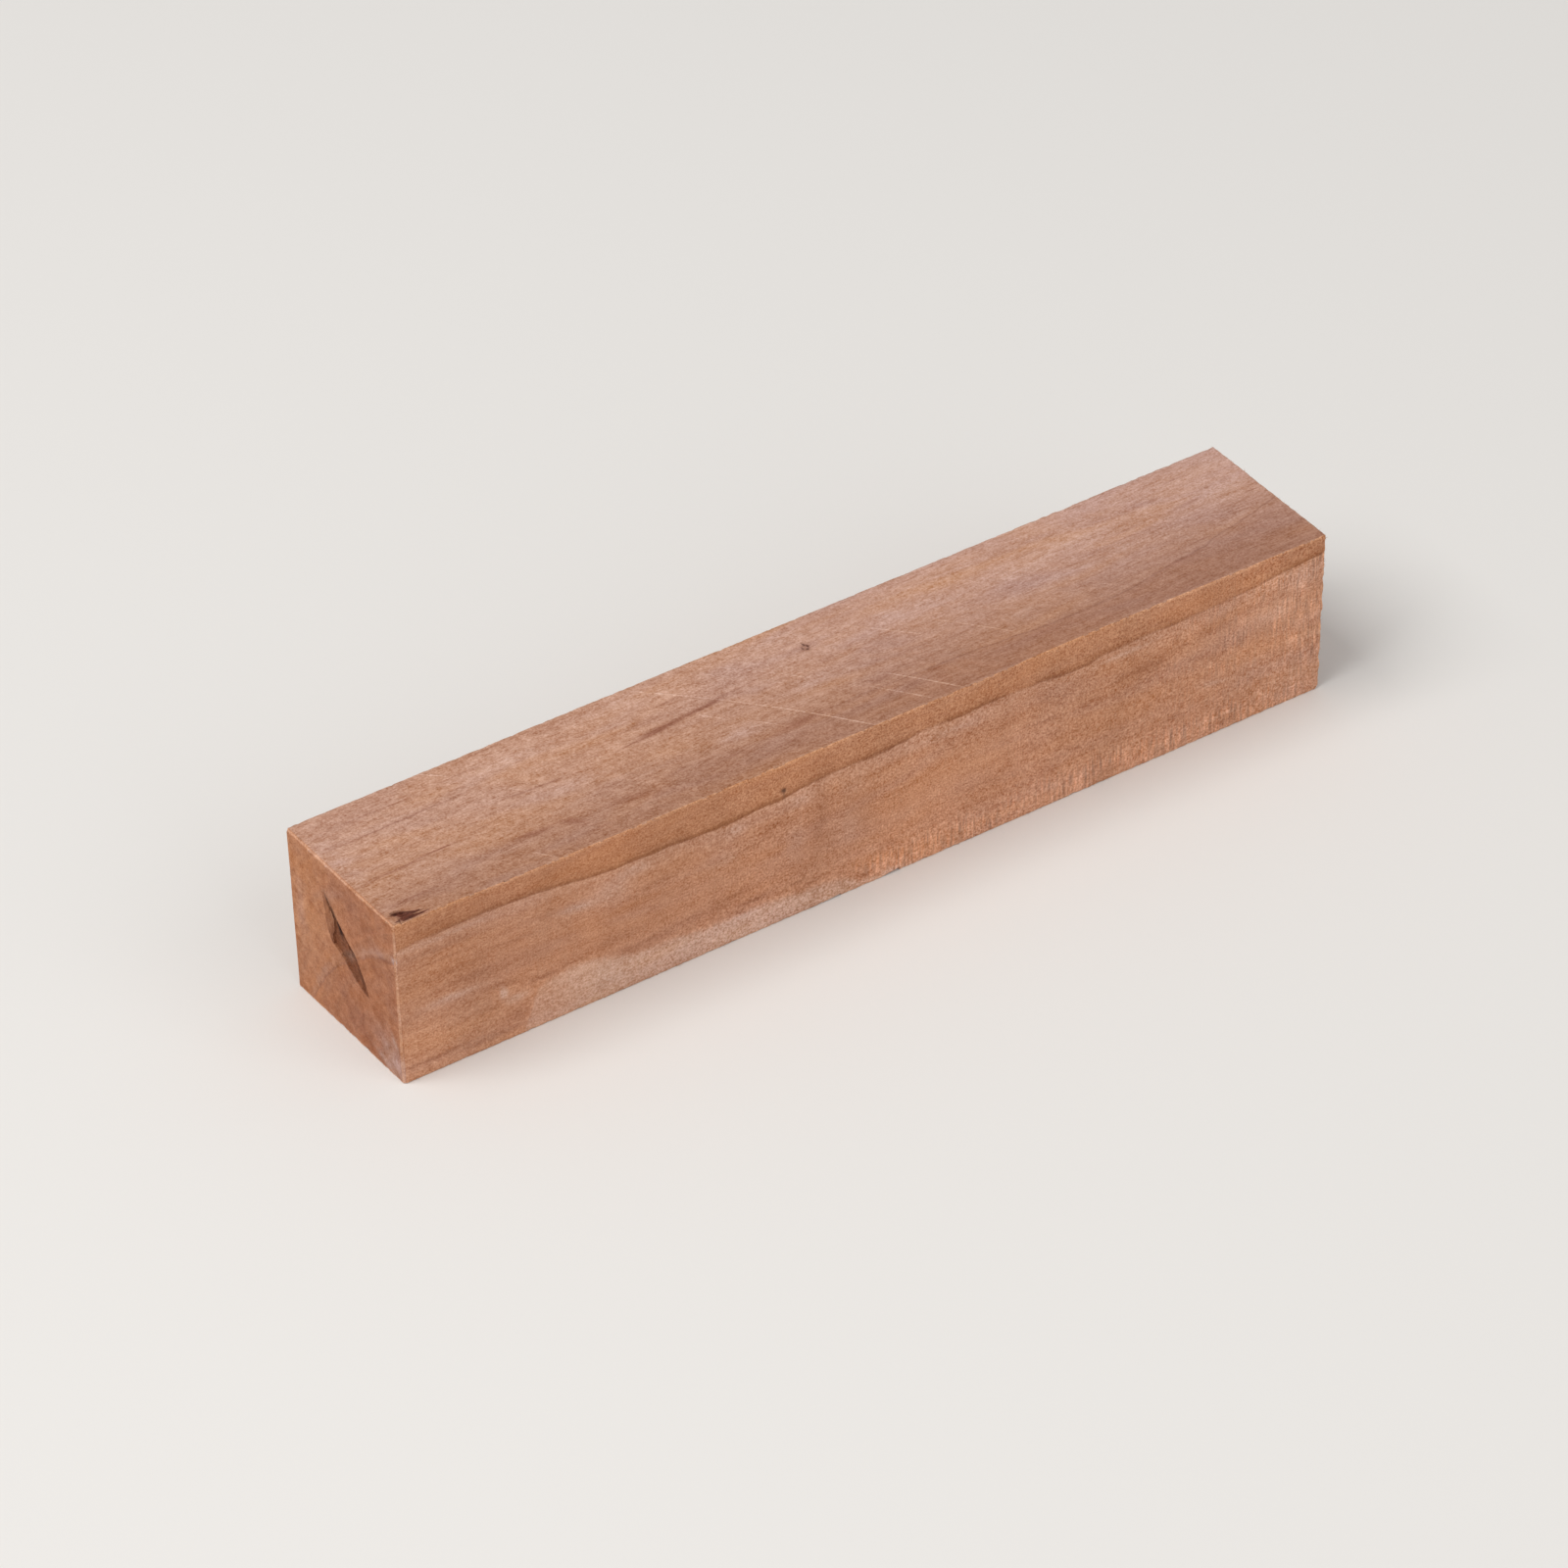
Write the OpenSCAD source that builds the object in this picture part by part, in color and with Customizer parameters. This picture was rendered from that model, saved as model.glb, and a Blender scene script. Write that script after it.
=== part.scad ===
// A square turning blank: a short length of fruitwood, ripped on all four sides and
// crosscut at both ends. X runs along the grain from the near end to the far end,
// the front side faces -Y, and the blank lies on its underside at z = 0. The origin
// is under the middle of the blank. Lengths are in millimetres, angles in degrees.

/* [Stock] */
// Length over the longest corners
length = 120.5; // [80:0.5:300]
// Width across the two ripped sides, measured at the underside
width = 20.5; // [16:0.5:50]
// Height from the underside to the top
height = 21; // [18:0.5:50]
// Easing of the sawn arrises, left by handling
easing = 0.09; // [0.05:0.01:0.4]
// Easing of the near end's top and side arrises, left by sanding
near_easing = 0.26; // [0.05:0.01:0.6]

/* [Rip cut of the front side] */
// How far the saw wandered outward along the top arris
wander = 0.38; // [0:0.02:1.5]

/* [Crosscut ends] */
// Turn of the near end out of square, seen from above
near_turn = -1.2; // [-4:0.1:4]
// Lean of the near end out of plumb
near_lean = -0.7; // [-4:0.1:4]
// Turn of the far end out of square, seen from above
far_turn = 0.7; // [-4:0.1:4]
// Lean of the far end out of plumb
far_lean = 0.1; // [-4:0.1:4]

/* [Bark pocket in the near end] */
// Length of the pocket from its upper tip to its lower end
bark_length = 11; // [5:0.5:14]
// Width of the pocket at its widest place
bark_width = 3.2; // [1:0.1:5]
// Depth to which the loose bark has fallen out
bark_depth = 0.2; // [0.1:0.05:4]
// Slope of the pocket on the end face, from level
bark_slope = 49.5; // [0:0.5:90]
// Height of the pocket's middle above the middle of the end face
bark_rise = 2; // [-2:0.1:3]
// Distance of the pocket's middle from the middle of the end face, towards the front
bark_aside = 0.1; // [-3:0.05:3]
// Width of the open crack inside the pocket
crack_width = 0.4; // [0.2:0.1:1.2]
// Depth of the crack below the end face
crack_depth = 6; // [4.5:0.5:20]

/* [Torn corner of the top] */
// Length of the torn place along the front arris
tear_length = 3.7; // [1:0.1:10]
// Width of the torn place across the top
tear_width = 2.1; // [0.8:0.1:8]
// Depth of the torn place at its back edge
tear_depth = 0.45; // [0.2:0.05:2]
// Distance of the torn place from the near end
tear_inset = 1.05; // [0.7:0.05:20]

/* [Chips in the lower front arris] */
// Distance of the larger chip's steep end from the near end
chip_at = 63.3; // [20:0.1:75]
// Length of the larger chip
chip_length = 3; // [1:0.1:10]
// Height of the larger chip
chip_rise = 0.42; // [0.1:0.02:2]
// Distance of the smaller chip's steep end from the near end
nick_at = 55.6; // [12:0.1:75]
// Length of the smaller chip
nick_length = 4; // [1:0.1:10]
// Height of the smaller chip
nick_rise = 0.26; // [0.1:0.02:2]
// How far both chips reach in from the front side
chip_reach = 0.8; // [0.3:0.1:3]

/* [Worn corner] */
// Wear of the lower front corner at the far end, along each edge
far_foot_wear = 0.6; // [0.5:0.1:3]

/* [Hidden] */

WOOD = "#C08F70";
// Distance between the cross-sections that the body is lofted through
STATION_STEP = 4;
// Clearance by which every cut starts outside the wood
PROUD = 1;

// The front side's foot and the back side, placed so that the box is centred on y = 0
foot_y = (wander - width) / 2;
back_y = (wander + width) / 2;
// The ends are set back so that their longest corners lie at half the length
near_set = abs(tan(near_turn)) * (width + wander) / 2 + abs(tan(near_lean)) * height / 2;
far_set = abs(tan(far_turn)) * (width + wander) / 2 + abs(tan(far_lean)) * height / 2;

// How far the cut has wandered at shares of the length, as shares of its full wander
WANDER_ROUTE = [
    [0, 0], [0.16, 0.92], [0.4, 1], [0.6, 0.9], [0.7, 0.25], [0.8, 0.3], [0.95, 0.8], [1, 0.8]
];

// The pocket's outline: shares of its length from the upper tip, and of its width
// from the crack towards the shoulder on its lower side
BARK_OUTLINE = [
    [0, -0.03], [0.1, -0.08], [0.22, -0.07], [0.35, -0.16], [0.5, -0.2], [0.63, -0.35],
    [0.74, -0.31], [0.84, -0.24], [0.96, -0.16], [1, 0.05], [0.95, 0.24], [0.82, 0.42],
    [0.7, 0.46], [0.64, 0.6], [0.47, 0.84], [0.39, 0.68], [0.36, 0.42], [0.26, 0.12],
    [0.1, 0.05]
];
// The crack's outline: shares of the pocket's length, and of the crack's width
CRACK_OUTLINE = [
    [0.06, 0], [0.2, -0.45], [0.36, -0.55], [0.56, -0.7], [0.66, -0.3], [0.48, 0.2],
    [0.36, 0.6], [0.24, 0.4]
];
// The torn place's outline: shares of its length and width, from the near front corner
TEAR_OUTLINE = [
    [0, 0], [0.04, 0.4], [0, 0.7], [-0.04, 0.96], [0.14, 1], [0.36, 0.82], [0.5, 0.6],
    [0.76, 0.46], [0.68, 0.33], [0.56, 0.29], [0.97, 0.17], [1, 0]
];

function smooth(t) = t * t * (3 - 2 * t);

// The wander at a share of the length, eased from one point of the route to the next
function wander_at(share, i = 0) =
    share <= WANDER_ROUTE[i + 1][0] || i == len(WANDER_ROUTE) - 2
        ? let (
            a = WANDER_ROUTE[i],
            b = WANDER_ROUTE[i + 1],
            t = min(1, max(0, (share - a[0]) / (b[0] - a[0])))
        ) wander * (a[1] + (b[1] - a[1]) * smooth(t))
        : wander_at(share, i + 1);

// The front side leans outward from its foot to its top as the cut wanders
function front_y(z, drift) = foot_y - drift * z / height;

// One cross-section as eight [y, z] points with eased arrises, its top and sides
// moved in by inset and its foot moved up by lift
function section(drift, inset, lift) =
    let (top = height - inset, back = back_y - inset)
    [
        [front_y(lift, drift) + inset + easing, lift],
        [back - easing, lift],
        [back, lift + easing],
        [back, top - easing],
        [back - easing, top],
        [front_y(top, drift) + inset + easing, top],
        [front_y(top - easing, drift) + inset, top - easing],
        [front_y(lift + easing, drift) + inset, lift + easing]
    ];

function near_x(y, z, inward) =
    -length / 2 + near_set + inward + tan(near_turn) * y + tan(near_lean) * (z - height / 2);
function far_x(y, z, inward) =
    length / 2 - far_set - inward + tan(far_turn) * y + tan(far_lean) * (z - height / 2);

// The rings of the loft: each end has a smaller outline on its face and the full
// outline one easing further in, and the stations lie between them
function near_ring(inset, lift, inward) =
    [for (p = section(wander_at(0), inset, lift)) [near_x(p[0], p[1], inward), p[0], p[1]]];
function far_ring(inset, inward) =
    [for (p = section(wander_at(1), inset, inset)) [far_x(p[0], p[1], inward), p[0], p[1]]];
function station_ring(x) =
    [for (p = section(wander_at(x / length + 0.5), 0, 0)) [x, p[0], p[1]]];

first_x = -length / 2 + 2 * near_set + near_easing + PROUD;
last_x = length / 2 - 2 * far_set - easing - PROUD;
station_gaps = ceil((last_x - first_x) / STATION_STEP);

rings = concat(
    [near_ring(near_easing, easing, 0), near_ring(0, 0, near_easing)],
    [for (i = [0 : station_gaps]) station_ring(first_x + (last_x - first_x) * i / station_gaps)],
    [far_ring(0, easing), far_ring(easing, 0)]
);

// A closed solid through a list of rings that have the same number of points
module loft(rings) {
    n = len(rings[0]);
    last = (len(rings) - 1) * n;
    sides = [
        for (r = [0 : len(rings) - 2], i = [0 : n - 1])
            let (a = r * n + i, b = r * n + (i + 1) % n)
                each [[a, b, b + n], [a, b + n, a + n]]
    ];
    caps = [[for (i = [n - 1 : -1 : 0]) i], [for (i = [0 : n - 1]) last + i]];
    polyhedron(points = [for (ring = rings) each ring], faces = concat(sides, caps));
}

function scaled(outline, size) = [for (p = outline) [p[0] * size[0], p[1] * size[1]]];

// Puts a flat drawing on the near end: its x runs up the slope of the pocket towards
// the lower front, its y towards the lower back, and it is extruded into the wood
module on_near_end() {
    translate([near_x(0, height / 2, 0), -bark_aside, height / 2 + bark_rise])
        rotate([0, 90, 0])
            rotate(bark_slope - 90)
                translate([-bark_length / 2, 0, -PROUD])
                    children();
}

// Loose bark has fallen out of the shallow pocket
module bark_pocket() {
    linear_extrude(height = PROUD + bark_depth)
        polygon(scaled(BARK_OUTLINE, [bark_length, bark_width]));
}

// The crack narrows as it runs along the grain from the pocket into the wood
module crack() {
    linear_extrude(height = PROUD + crack_depth)
        polygon(scaled(CRACK_OUTLINE, [bark_length, crack_width]));
}

// The torn place is deepest at its back edge, and its floor climbs to the front arris
module torn_corner() {
    drift = wander_at(tear_inset / length);
    translate([
        near_x(foot_y, height, tear_inset), front_y(height, drift), height - easing
    ])
        rotate([-atan(tear_depth / tear_width), 0, 0])
            linear_extrude(height = PROUD + tear_depth)
                polygon(scaled(TEAR_OUTLINE, [tear_length, tear_width]));
}

// A chip climbs slowly from the underside and ends in a steep step
module chip(from_near, long, rise) {
    outline = [
        [-long, -PROUD], [-long, 0], [-0.3 * long, 0.7 * rise], [0, rise], [0.05 * long, -PROUD]
    ];
    translate([-length / 2 + from_near, foot_y + chip_reach, 0])
        rotate([90, 0, 0])
            linear_extrude(height = chip_reach + wander + PROUD)
                polygon(outline);
}

// A corner knocked off square to its own diagonal, size measured along each edge
module worn_corner(corner, outward, size) {
    turn = atan2(outward[1], outward[0]);
    tilt = acos(outward[2] / norm(outward));
    translate(corner)
        rotate([0, tilt, turn])
            translate([-2 * size, -2 * size, -size / sqrt(3)])
                cube([4 * size, 4 * size, size + PROUD]);
}

module blank() {
    color(WOOD)
        difference() {
            loft(rings);
            on_near_end() bark_pocket();
            on_near_end() crack();
            torn_corner();
            chip(chip_at, chip_length, chip_rise);
            chip(nick_at, nick_length, nick_rise);
            worn_corner([far_x(foot_y, 0, 0), foot_y, 0], [1, -1, -1], far_foot_wear);
        }
}

blank();
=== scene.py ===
"""Looks of a square fruitwood turning blank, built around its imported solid.

The blank is one piece of bare wood. Its solid is cut into a fine grid and given the
relief that saws leave, and the loose fibres on its sawn sides and arrises are a
second piece. X runs along the grain from the end with the bark pocket.
"""

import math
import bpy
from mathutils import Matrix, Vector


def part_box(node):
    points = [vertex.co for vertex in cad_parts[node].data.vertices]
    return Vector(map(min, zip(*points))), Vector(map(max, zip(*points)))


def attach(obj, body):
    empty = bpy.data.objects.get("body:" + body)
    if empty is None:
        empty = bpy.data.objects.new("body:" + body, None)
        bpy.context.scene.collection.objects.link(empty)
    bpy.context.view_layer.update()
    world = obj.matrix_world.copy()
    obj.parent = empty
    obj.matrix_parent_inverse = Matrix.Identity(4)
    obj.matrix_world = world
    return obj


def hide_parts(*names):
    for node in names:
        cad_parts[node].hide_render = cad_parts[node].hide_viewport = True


bl_info = {
    "name": "Fruitwood Turning Blank",
    "version": (1, 0, 0),
    "blender": (4, 5, 0),
    "location": "3D View > Sidebar > Turning Blank",
    "description": "Sawn relief, wood figure, loose fibres and a stage for a turning blank",
    "category": "Object",
}

import bmesh
import bpy
import numpy as np
from mathutils import Matrix, Vector

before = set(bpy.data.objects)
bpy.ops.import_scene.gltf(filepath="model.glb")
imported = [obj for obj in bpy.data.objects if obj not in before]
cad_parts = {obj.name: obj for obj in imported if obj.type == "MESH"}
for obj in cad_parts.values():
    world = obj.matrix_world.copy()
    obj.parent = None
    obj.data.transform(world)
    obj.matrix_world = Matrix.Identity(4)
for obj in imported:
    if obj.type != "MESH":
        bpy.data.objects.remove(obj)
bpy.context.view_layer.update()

NODE = "blank"
BODY = "root"
MM = 0.001
IN_MM = 1000.0

LOW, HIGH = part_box(NODE)
HEIGHT = (HIGH.z - LOW.z) * IN_MM
ALONG = (LOW.x * IN_MM, HIGH.x * IN_MM)
ACROSS = (LOW.y * IN_MM, HIGH.y * IN_MM)

# The kinds of node that the trees use most
MATH = "ShaderNodeMath"
VECTOR_MATH = "ShaderNodeVectorMath"
MAP_RANGE = "ShaderNodeMapRange"

# Marks on a face, as (along, across, half length, half width, slope, strength) in mm.
# Along is x; across is y on the top and the underside, and z on the front and the back.
TOP_DARK = (
    (-19.0, 2.25, 2.9, 0.45, 0.11, 1.2),
    (-12.8, 2.85, 3.0, 0.34, 0.1, 1.0),
    (-23.2, 1.7, 1.8, 0.1, 0.07, 0.5),
    (-7.6, 3.5, 1.8, 0.1, 0.1, 0.5),
    (-20.5, 4.1, 3.0, 0.45, 0.03, 0.3),
    (-16.0, 5.8, 2.2, 0.25, 0.0, 0.45),
    (-49.5, 4.65, 7.5, 0.13, 0.02, 0.7),
    (-53.5, -2.15, 5.5, 0.2, 0.06, 0.7),
    (-48.8, -1.85, 1.3, 0.15, 0.05, 1.0),
    (-43.0, -1.3, 2.2, 0.12, 0.14, 0.4),
    (-53.0, 7.5, 4.0, 0.13, -0.03, 0.3),
    (-40.5, 7.8, 2.4, 0.13, 0.0, 0.45),
    (-36.5, 9.9, 3.5, 0.15, 0.0, 0.3),
    (-35.5, 1.25, 3.6, 0.13, -0.05, 0.7),
    (-39.8, -5.2, 2.4, 0.45, -0.04, 0.8),
    (-35.3, -5.9, 1.0, 0.7, -0.6, 0.8),
    (-33.2, -8.3, 1.6, 0.2, 0.0, 0.4),
    (-55.5, -7.1, 3.0, 0.25, 0.07, 0.5),
    (-27.5, -6.1, 2.8, 0.55, -0.1, 0.65),
    (-25.6, -7.2, 1.2, 0.3, 0.0, 0.4),
    (-21.8, -5.1, 1.6, 0.14, 0.05, 0.5),
    (-24.5, -1.0, 2.0, 0.35, 0.05, 0.3),
    (-27.2, 2.25, 0.3, 0.12, 0.0, 0.6),
    (-13.5, -0.45, 0.5, 0.09, 0.0, 0.5),
    (-15.5, -6.0, 1.8, 0.3, 0.0, 0.35),
    (-6.5, -5.3, 3.2, 0.6, 0.06, 0.75),
    (-9.2, -7.5, 1.8, 0.14, 0.1, 0.4),
    (-20.0, -7.9, 3.0, 0.2, 0.02, 0.35),
    (-10.0, 0.5, 14.0, 2.6, 0.0, 0.1),
    (0.2, 6.95, 0.9, 0.13, 0.0, 0.55),
    (1.7, 5.5, 1.6, 0.7, 0.0, 0.35),
    (2.3, 2.3, 0.8, 0.4, 0.0, 0.35),
    (4.9, -3.8, 1.8, 0.4, 0.05, 0.5),
    (2.4, -4.6, 0.9, 0.2, 0.0, 0.35),
    (10.8, -5.8, 1.0, 0.35, 0.0, 0.5),
    (10.6, -7.4, 0.7, 0.6, 0.0, 0.3),
    (24.0, 1.0, 2.6, 0.13, 0.0, 0.3),
    (19.0, 0.5, 1.2, 0.12, 0.0, 0.3),
    (24.5, -7.0, 3.0, 0.5, 0.0, 0.35),
    (30.8, 5.5, 1.4, 0.12, 0.08, 0.4),
    (33.6, 1.2, 2.8, 0.13, 0.02, 0.5),
    (38.0, 1.75, 1.8, 0.12, 0.05, 0.45),
    (42.6, 3.05, 2.5, 0.14, 0.03, 0.45),
    (42.5, 1.9, 2.0, 0.15, -0.03, 0.3),
    (50.8, 3.2, 2.8, 0.28, 0.08, 0.45),
    (52.6, 7.75, 1.5, 0.13, 0.03, 0.6),
    (46.8, 6.0, 1.8, 0.14, 0.0, 0.35),
    (58.5, 1.2, 0.8, 0.11, 0.0, 0.6),
    (48.2, -0.4, 1.8, 0.12, 0.0, 0.35),
    (47.0, -3.2, 4.2, 0.13, 0.03, 0.5),
    (44.2, -5.0, 3.4, 0.25, 0.09, 0.5),
    (50.5, -6.3, 1.6, 0.14, 0.2, 0.5),
    (36.8, -6.8, 0.9, 0.15, 0.0, 0.5),
    (43.0, -7.6, 1.6, 0.15, 0.0, 0.35),
)
TOP_PALE = (
    (-36.0, 7.0, 5.0, 1.0, -0.02, 0.5),
    (-58.5, 0.5, 1.0, 6.0, 0.0, 0.35),
    (-52.5, -3.0, 3.0, 0.7, 0.03, 0.35),
    (-33.0, -0.5, 4.0, 0.8, 0.0, 0.4),
    (-12.5, -3.2, 2.5, 1.0, 0.1, 0.5),
    (-1.0, 0.0, 2.0, 0.9, 0.1, 0.5),
    (-20.5, 8.6, 4.5, 1.2, 0.0, 0.4),
    (0.5, 8.3, 3.0, 0.9, 0.0, 0.4),
    (12.4, 5.1, 1.8, 0.8, -0.6, 0.6),
    (17.5, 4.2, 2.4, 0.8, -0.3, 0.45),
    (24.0, -3.2, 1.6, 0.9, 0.0, 0.4),
    (28.0, 3.4, 4.5, 0.9, 0.0, 0.45),
    (36.5, 4.6, 4.0, 0.9, 0.0, 0.5),
    (33.5, 0.2, 2.5, 0.5, 0.0, 0.4),
    (40.6, 0.8, 1.2, 0.7, -0.4, 0.6),
    (55.8, 3.0, 4.0, 1.0, 0.05, 0.5),
    (57.5, 8.5, 3.0, 1.6, 0.0, 0.35),
)
TOP_KNOT = (
    (1.75, 5.95, 0.13, 0.28, 0.0, 1.2),
    (2.0, 5.5, 0.13, 0.3, 0.0, 1.2),
    (1.7, 5.05, 0.2, 0.17, 0.0, 1.2),
    (1.3, 5.4, 0.14, 0.3, 0.0, 0.9),
)
SIDE_KNOT = ((-12.0, 17.6, 0.27, 0.3, 0.0, 1.2), (-11.9, 16.95, 0.15, 0.5, 0.0, 0.5))
# Dark bark left in the torn corner, with the shadow of the torn place's back wall painted over it,
# and two fingers that point along the grain
TORN_BARK_AND_SHADOW = (
    (-57.9, -8.75, 0.8, 0.42, -0.25, 1.3),
    (-56.9, -9.05, 1.0, 0.16, -0.24, 1.3),
    (-57.8, -9.5, 0.9, 0.4, 0.0, 1.3),
    (-56.5, -9.75, 1.35, 0.14, 0.03, 1.2),
    (-58.9, -8.4, 0.4, 0.25, 0.0, 0.4),
    (-59.0, -9.6, 0.4, 0.16, 0.0, 0.4),
)
FRONT_DARK = (
    (-54.5, 15.9, 4.2, 0.4, 0.0, 0.6),
    (-55.5, 19.0, 2.6, 0.3, 0.0, 0.4),
    (-54.5, 14.3, 5.0, 0.18, -0.01, 0.45),
    (-54.0, 12.2, 5.5, 0.5, 0.0, 0.5),
    (-52.0, 10.6, 6.5, 0.7, 0.0, 0.45),
    (-47.0, 9.6, 5.0, 0.5, -0.03, 0.35),
    (-46.5, 12.9, 3.6, 0.3, -0.06, 0.5),
    (-41.0, 14.4, 2.2, 0.5, 0.0, 0.35),
    (-58.5, 8.0, 1.2, 1.4, 0.0, 0.3),
    (-46.5, 7.5, 2.2, 0.4, -0.12, 0.6),
    (-42.5, 6.4, 2.2, 0.25, -0.02, 0.75),
    (-38.5, 6.5, 2.6, 0.2, 0.0, 0.45),
    (-45.6, 3.0, 1.4, 1.1, 0.0, 0.5),
    (-48.5, 5.0, 1.0, 0.3, -0.2, 0.4),
    (-55.0, 1.95, 4.5, 0.22, 0.0, 0.75),
    (-48.5, 1.3, 4.0, 0.35, -0.02, 0.6),
    (-31.5, 5.0, 1.2, 0.6, 0.0, 0.7),
    (-32.0, 7.5, 3.5, 0.6, 0.0, 0.4),
    (-28.6, 5.0, 2.0, 0.6, 0.0, 0.6),
    (-27.8, 12.6, 2.5, 0.4, 0.0, 0.25),
    (-23.0, 5.6, 4.5, 0.7, 0.0, 0.45),
    (-18.5, 6.2, 2.4, 0.7, 0.0, 0.4),
    (-15.9, 4.5, 1.7, 0.26, 0.0, 1.1),
    (-18.0, 3.8, 0.7, 0.4, 0.0, 0.6),
    (-10.4, 4.4, 0.9, 0.22, 0.0, 0.9),
    (-8.2, 3.6, 0.9, 0.4, 0.0, 0.45),
    (-7.3, 12.0, 1.0, 4.5, 0.0, 0.35),
    (-15.5, 12.0, 2.2, 0.12, 0.0, 0.5),
    (-21.0, 11.7, 4.0, 0.1, 0.0, 0.35),
    (-13.0, 13.4, 2.0, 0.4, 0.0, 0.3),
    (-6.2, 18.2, 1.2, 0.6, 0.0, 0.35),
    (1.8, 4.3, 1.1, 0.5, 0.0, 0.6),
    (-1.6, 1.4, 0.7, 0.4, 0.0, 0.6),
    (21.5, 11.85, 3.6, 0.1, -0.08, 0.7),
    (20.2, 13.2, 0.7, 0.12, 0.1, 0.7),
    (17.0, 13.5, 1.6, 0.3, 0.0, 0.35),
    (14.5, 7.0, 2.4, 0.2, -0.05, 0.4),
    (28.0, 2.6, 4.0, 0.7, 0.0, 0.35),
    (35.8, 13.15, 3.4, 0.7, 0.0, 0.9),
    (40.5, 13.9, 2.6, 0.35, 0.0, 0.45),
    (36.5, 12.2, 2.6, 0.12, 0.0, 0.6),
    (39.5, 4.7, 1.2, 0.3, 0.0, 0.6),
    (44.5, 14.6, 3.0, 0.4, 0.0, 0.3),
    (46.5, 3.1, 1.8, 0.2, -0.3, 0.5),
    (46.5, 1.2, 2.2, 0.5, 0.0, 0.6),
    (48.5, 18.3, 1.2, 0.2, 0.0, 0.5),
    (31.0, 17.7, 2.2, 0.5, 0.0, 0.4),
    (37.5, 18.4, 1.2, 0.3, 0.0, 0.5),
)
FRONT_PALE = (
    (-53.4, 8.85, 3.2, 0.5, 0.01, 0.7),
    (-53.5, 17.2, 6.0, 0.35, 0.0, 0.4),
    (-37.8, 13.6, 2.2, 0.6, -0.1, 0.9),
    (-33.5, 13.8, 2.2, 1.4, 0.0, 0.6),
    (-30.5, 15.5, 2.5, 0.8, 0.0, 0.55),
    (-47.1, 6.5, 0.5, 0.8, -0.6, 1.1),
    (-45.4, 5.1, 1.4, 0.6, 0.0, 1.0),
    (-34.0, 2.6, 3.5, 1.6, 0.0, 0.45),
    (-18.2, 15.0, 1.4, 0.9, 0.0, 0.55),
    (-19.5, 11.5, 1.8, 0.9, 0.0, 0.4),
    (-9.8, 15.3, 1.8, 0.9, 0.0, 0.5),
    (-10.5, 10.0, 1.2, 2.4, 0.0, 0.35),
    (-3.6, 8.8, 1.8, 2.0, 0.0, 0.4),
    (-3.0, 14.5, 1.5, 1.0, 0.0, 0.35),
    (9.0, 15.9, 4.0, 0.7, 0.02, 0.45),
    (33.0, 16.3, 4.0, 0.3, 0.03, 0.5),
    (45.2, 7.1, 1.6, 0.4, -0.2, 0.6),
    (50.0, 6.5, 2.5, 1.5, 0.0, 0.35),
    (47.0, 2.0, 4.0, 0.25, 0.0, 0.4),
    (52.5, 13.0, 2.5, 1.0, 0.0, 0.35),
    (57.0, 16.6, 2.0, 1.0, 0.0, 0.5),
    (55.5, 3.6, 5.0, 3.0, 0.0, 0.4),
)
BACK_DARK = (
    (-46.0, 14.6, 9.0, 0.2, -0.01, 0.5),
    (-20.0, 15.2, 7.0, 0.25, 0.02, 0.6),
    (8.0, 6.1, 10.0, 0.2, 0.0, 0.45),
    (27.0, 6.8, 6.0, 0.3, 0.02, 0.6),
    (44.0, 12.5, 5.0, 0.8, 0.03, 0.5),
    (-33.0, 5.0, 5.0, 0.7, -0.03, 0.4),
)
BACK_PALE = (
    (-52.0, 9.0, 5.0, 1.0, 0.0, 0.5),
    (0.0, 17.0, 6.0, 0.8, 0.01, 0.5),
    (36.0, 3.5, 8.0, 1.2, 0.0, 0.5),
)
FOOT_DARK = (
    (-40.0, -3.0, 8.0, 0.25, 0.02, 0.6),
    (-12.0, -4.4, 9.0, 0.2, -0.01, 0.5),
    (22.0, 0.6, 7.0, 0.3, 0.03, 0.6),
    (50.0, -6.0, 5.0, 0.5, 0.0, 0.4),
)
FOOT_PALE = (
    (-28.0, -8.2, 12.0, 1.4, 0.0, 0.9),
    (10.0, -8.8, 8.0, 0.8, 0.0, 0.6),
    (44.0, 4.0, 6.0, 1.0, 0.02, 0.5),
)
NEAR_DARK = (
    (-6.0, 12.7, 0.8, 0.3, 0.4, 0.6),
    (0.3, 7.2, 0.7, 0.4, 0.6, 0.8),
    (1.6, 5.6, 0.8, 0.7, 0.4, 0.5),
    (1.1, 5.0, 0.35, 0.3, 0.0, 0.5),
    (3.2, 3.6, 0.5, 0.25, 1.0, 0.6),
    (5.9, 6.0, 0.35, 0.25, 0.6, 0.6),
    (-2.4, 4.0, 0.6, 0.3, 0.4, 0.5),
    (5.0, 0.9, 0.6, 0.35, 0.4, 0.7),
    (-2.0, 3.0, 3.4, 1.6, 0.5, 0.45),
    (-3.6, 1.4, 1.6, 0.8, 0.3, 0.45),
    (-6.2, 6.6, 0.8, 1.0, 0.3, 0.6),
    (-8.9, 10.6, 0.8, 1.8, 0.0, 0.5),
    (-8.3, 15.3, 1.2, 0.2, -0.5, 0.8),
    (-5.5, 17.6, 2.6, 0.7, -0.4, 0.4),
    (-2.4, 19.0, 1.4, 0.7, 0.0, 0.35),
    (8.4, 15.6, 0.9, 0.4, 0.3, 0.35),
)
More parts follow.
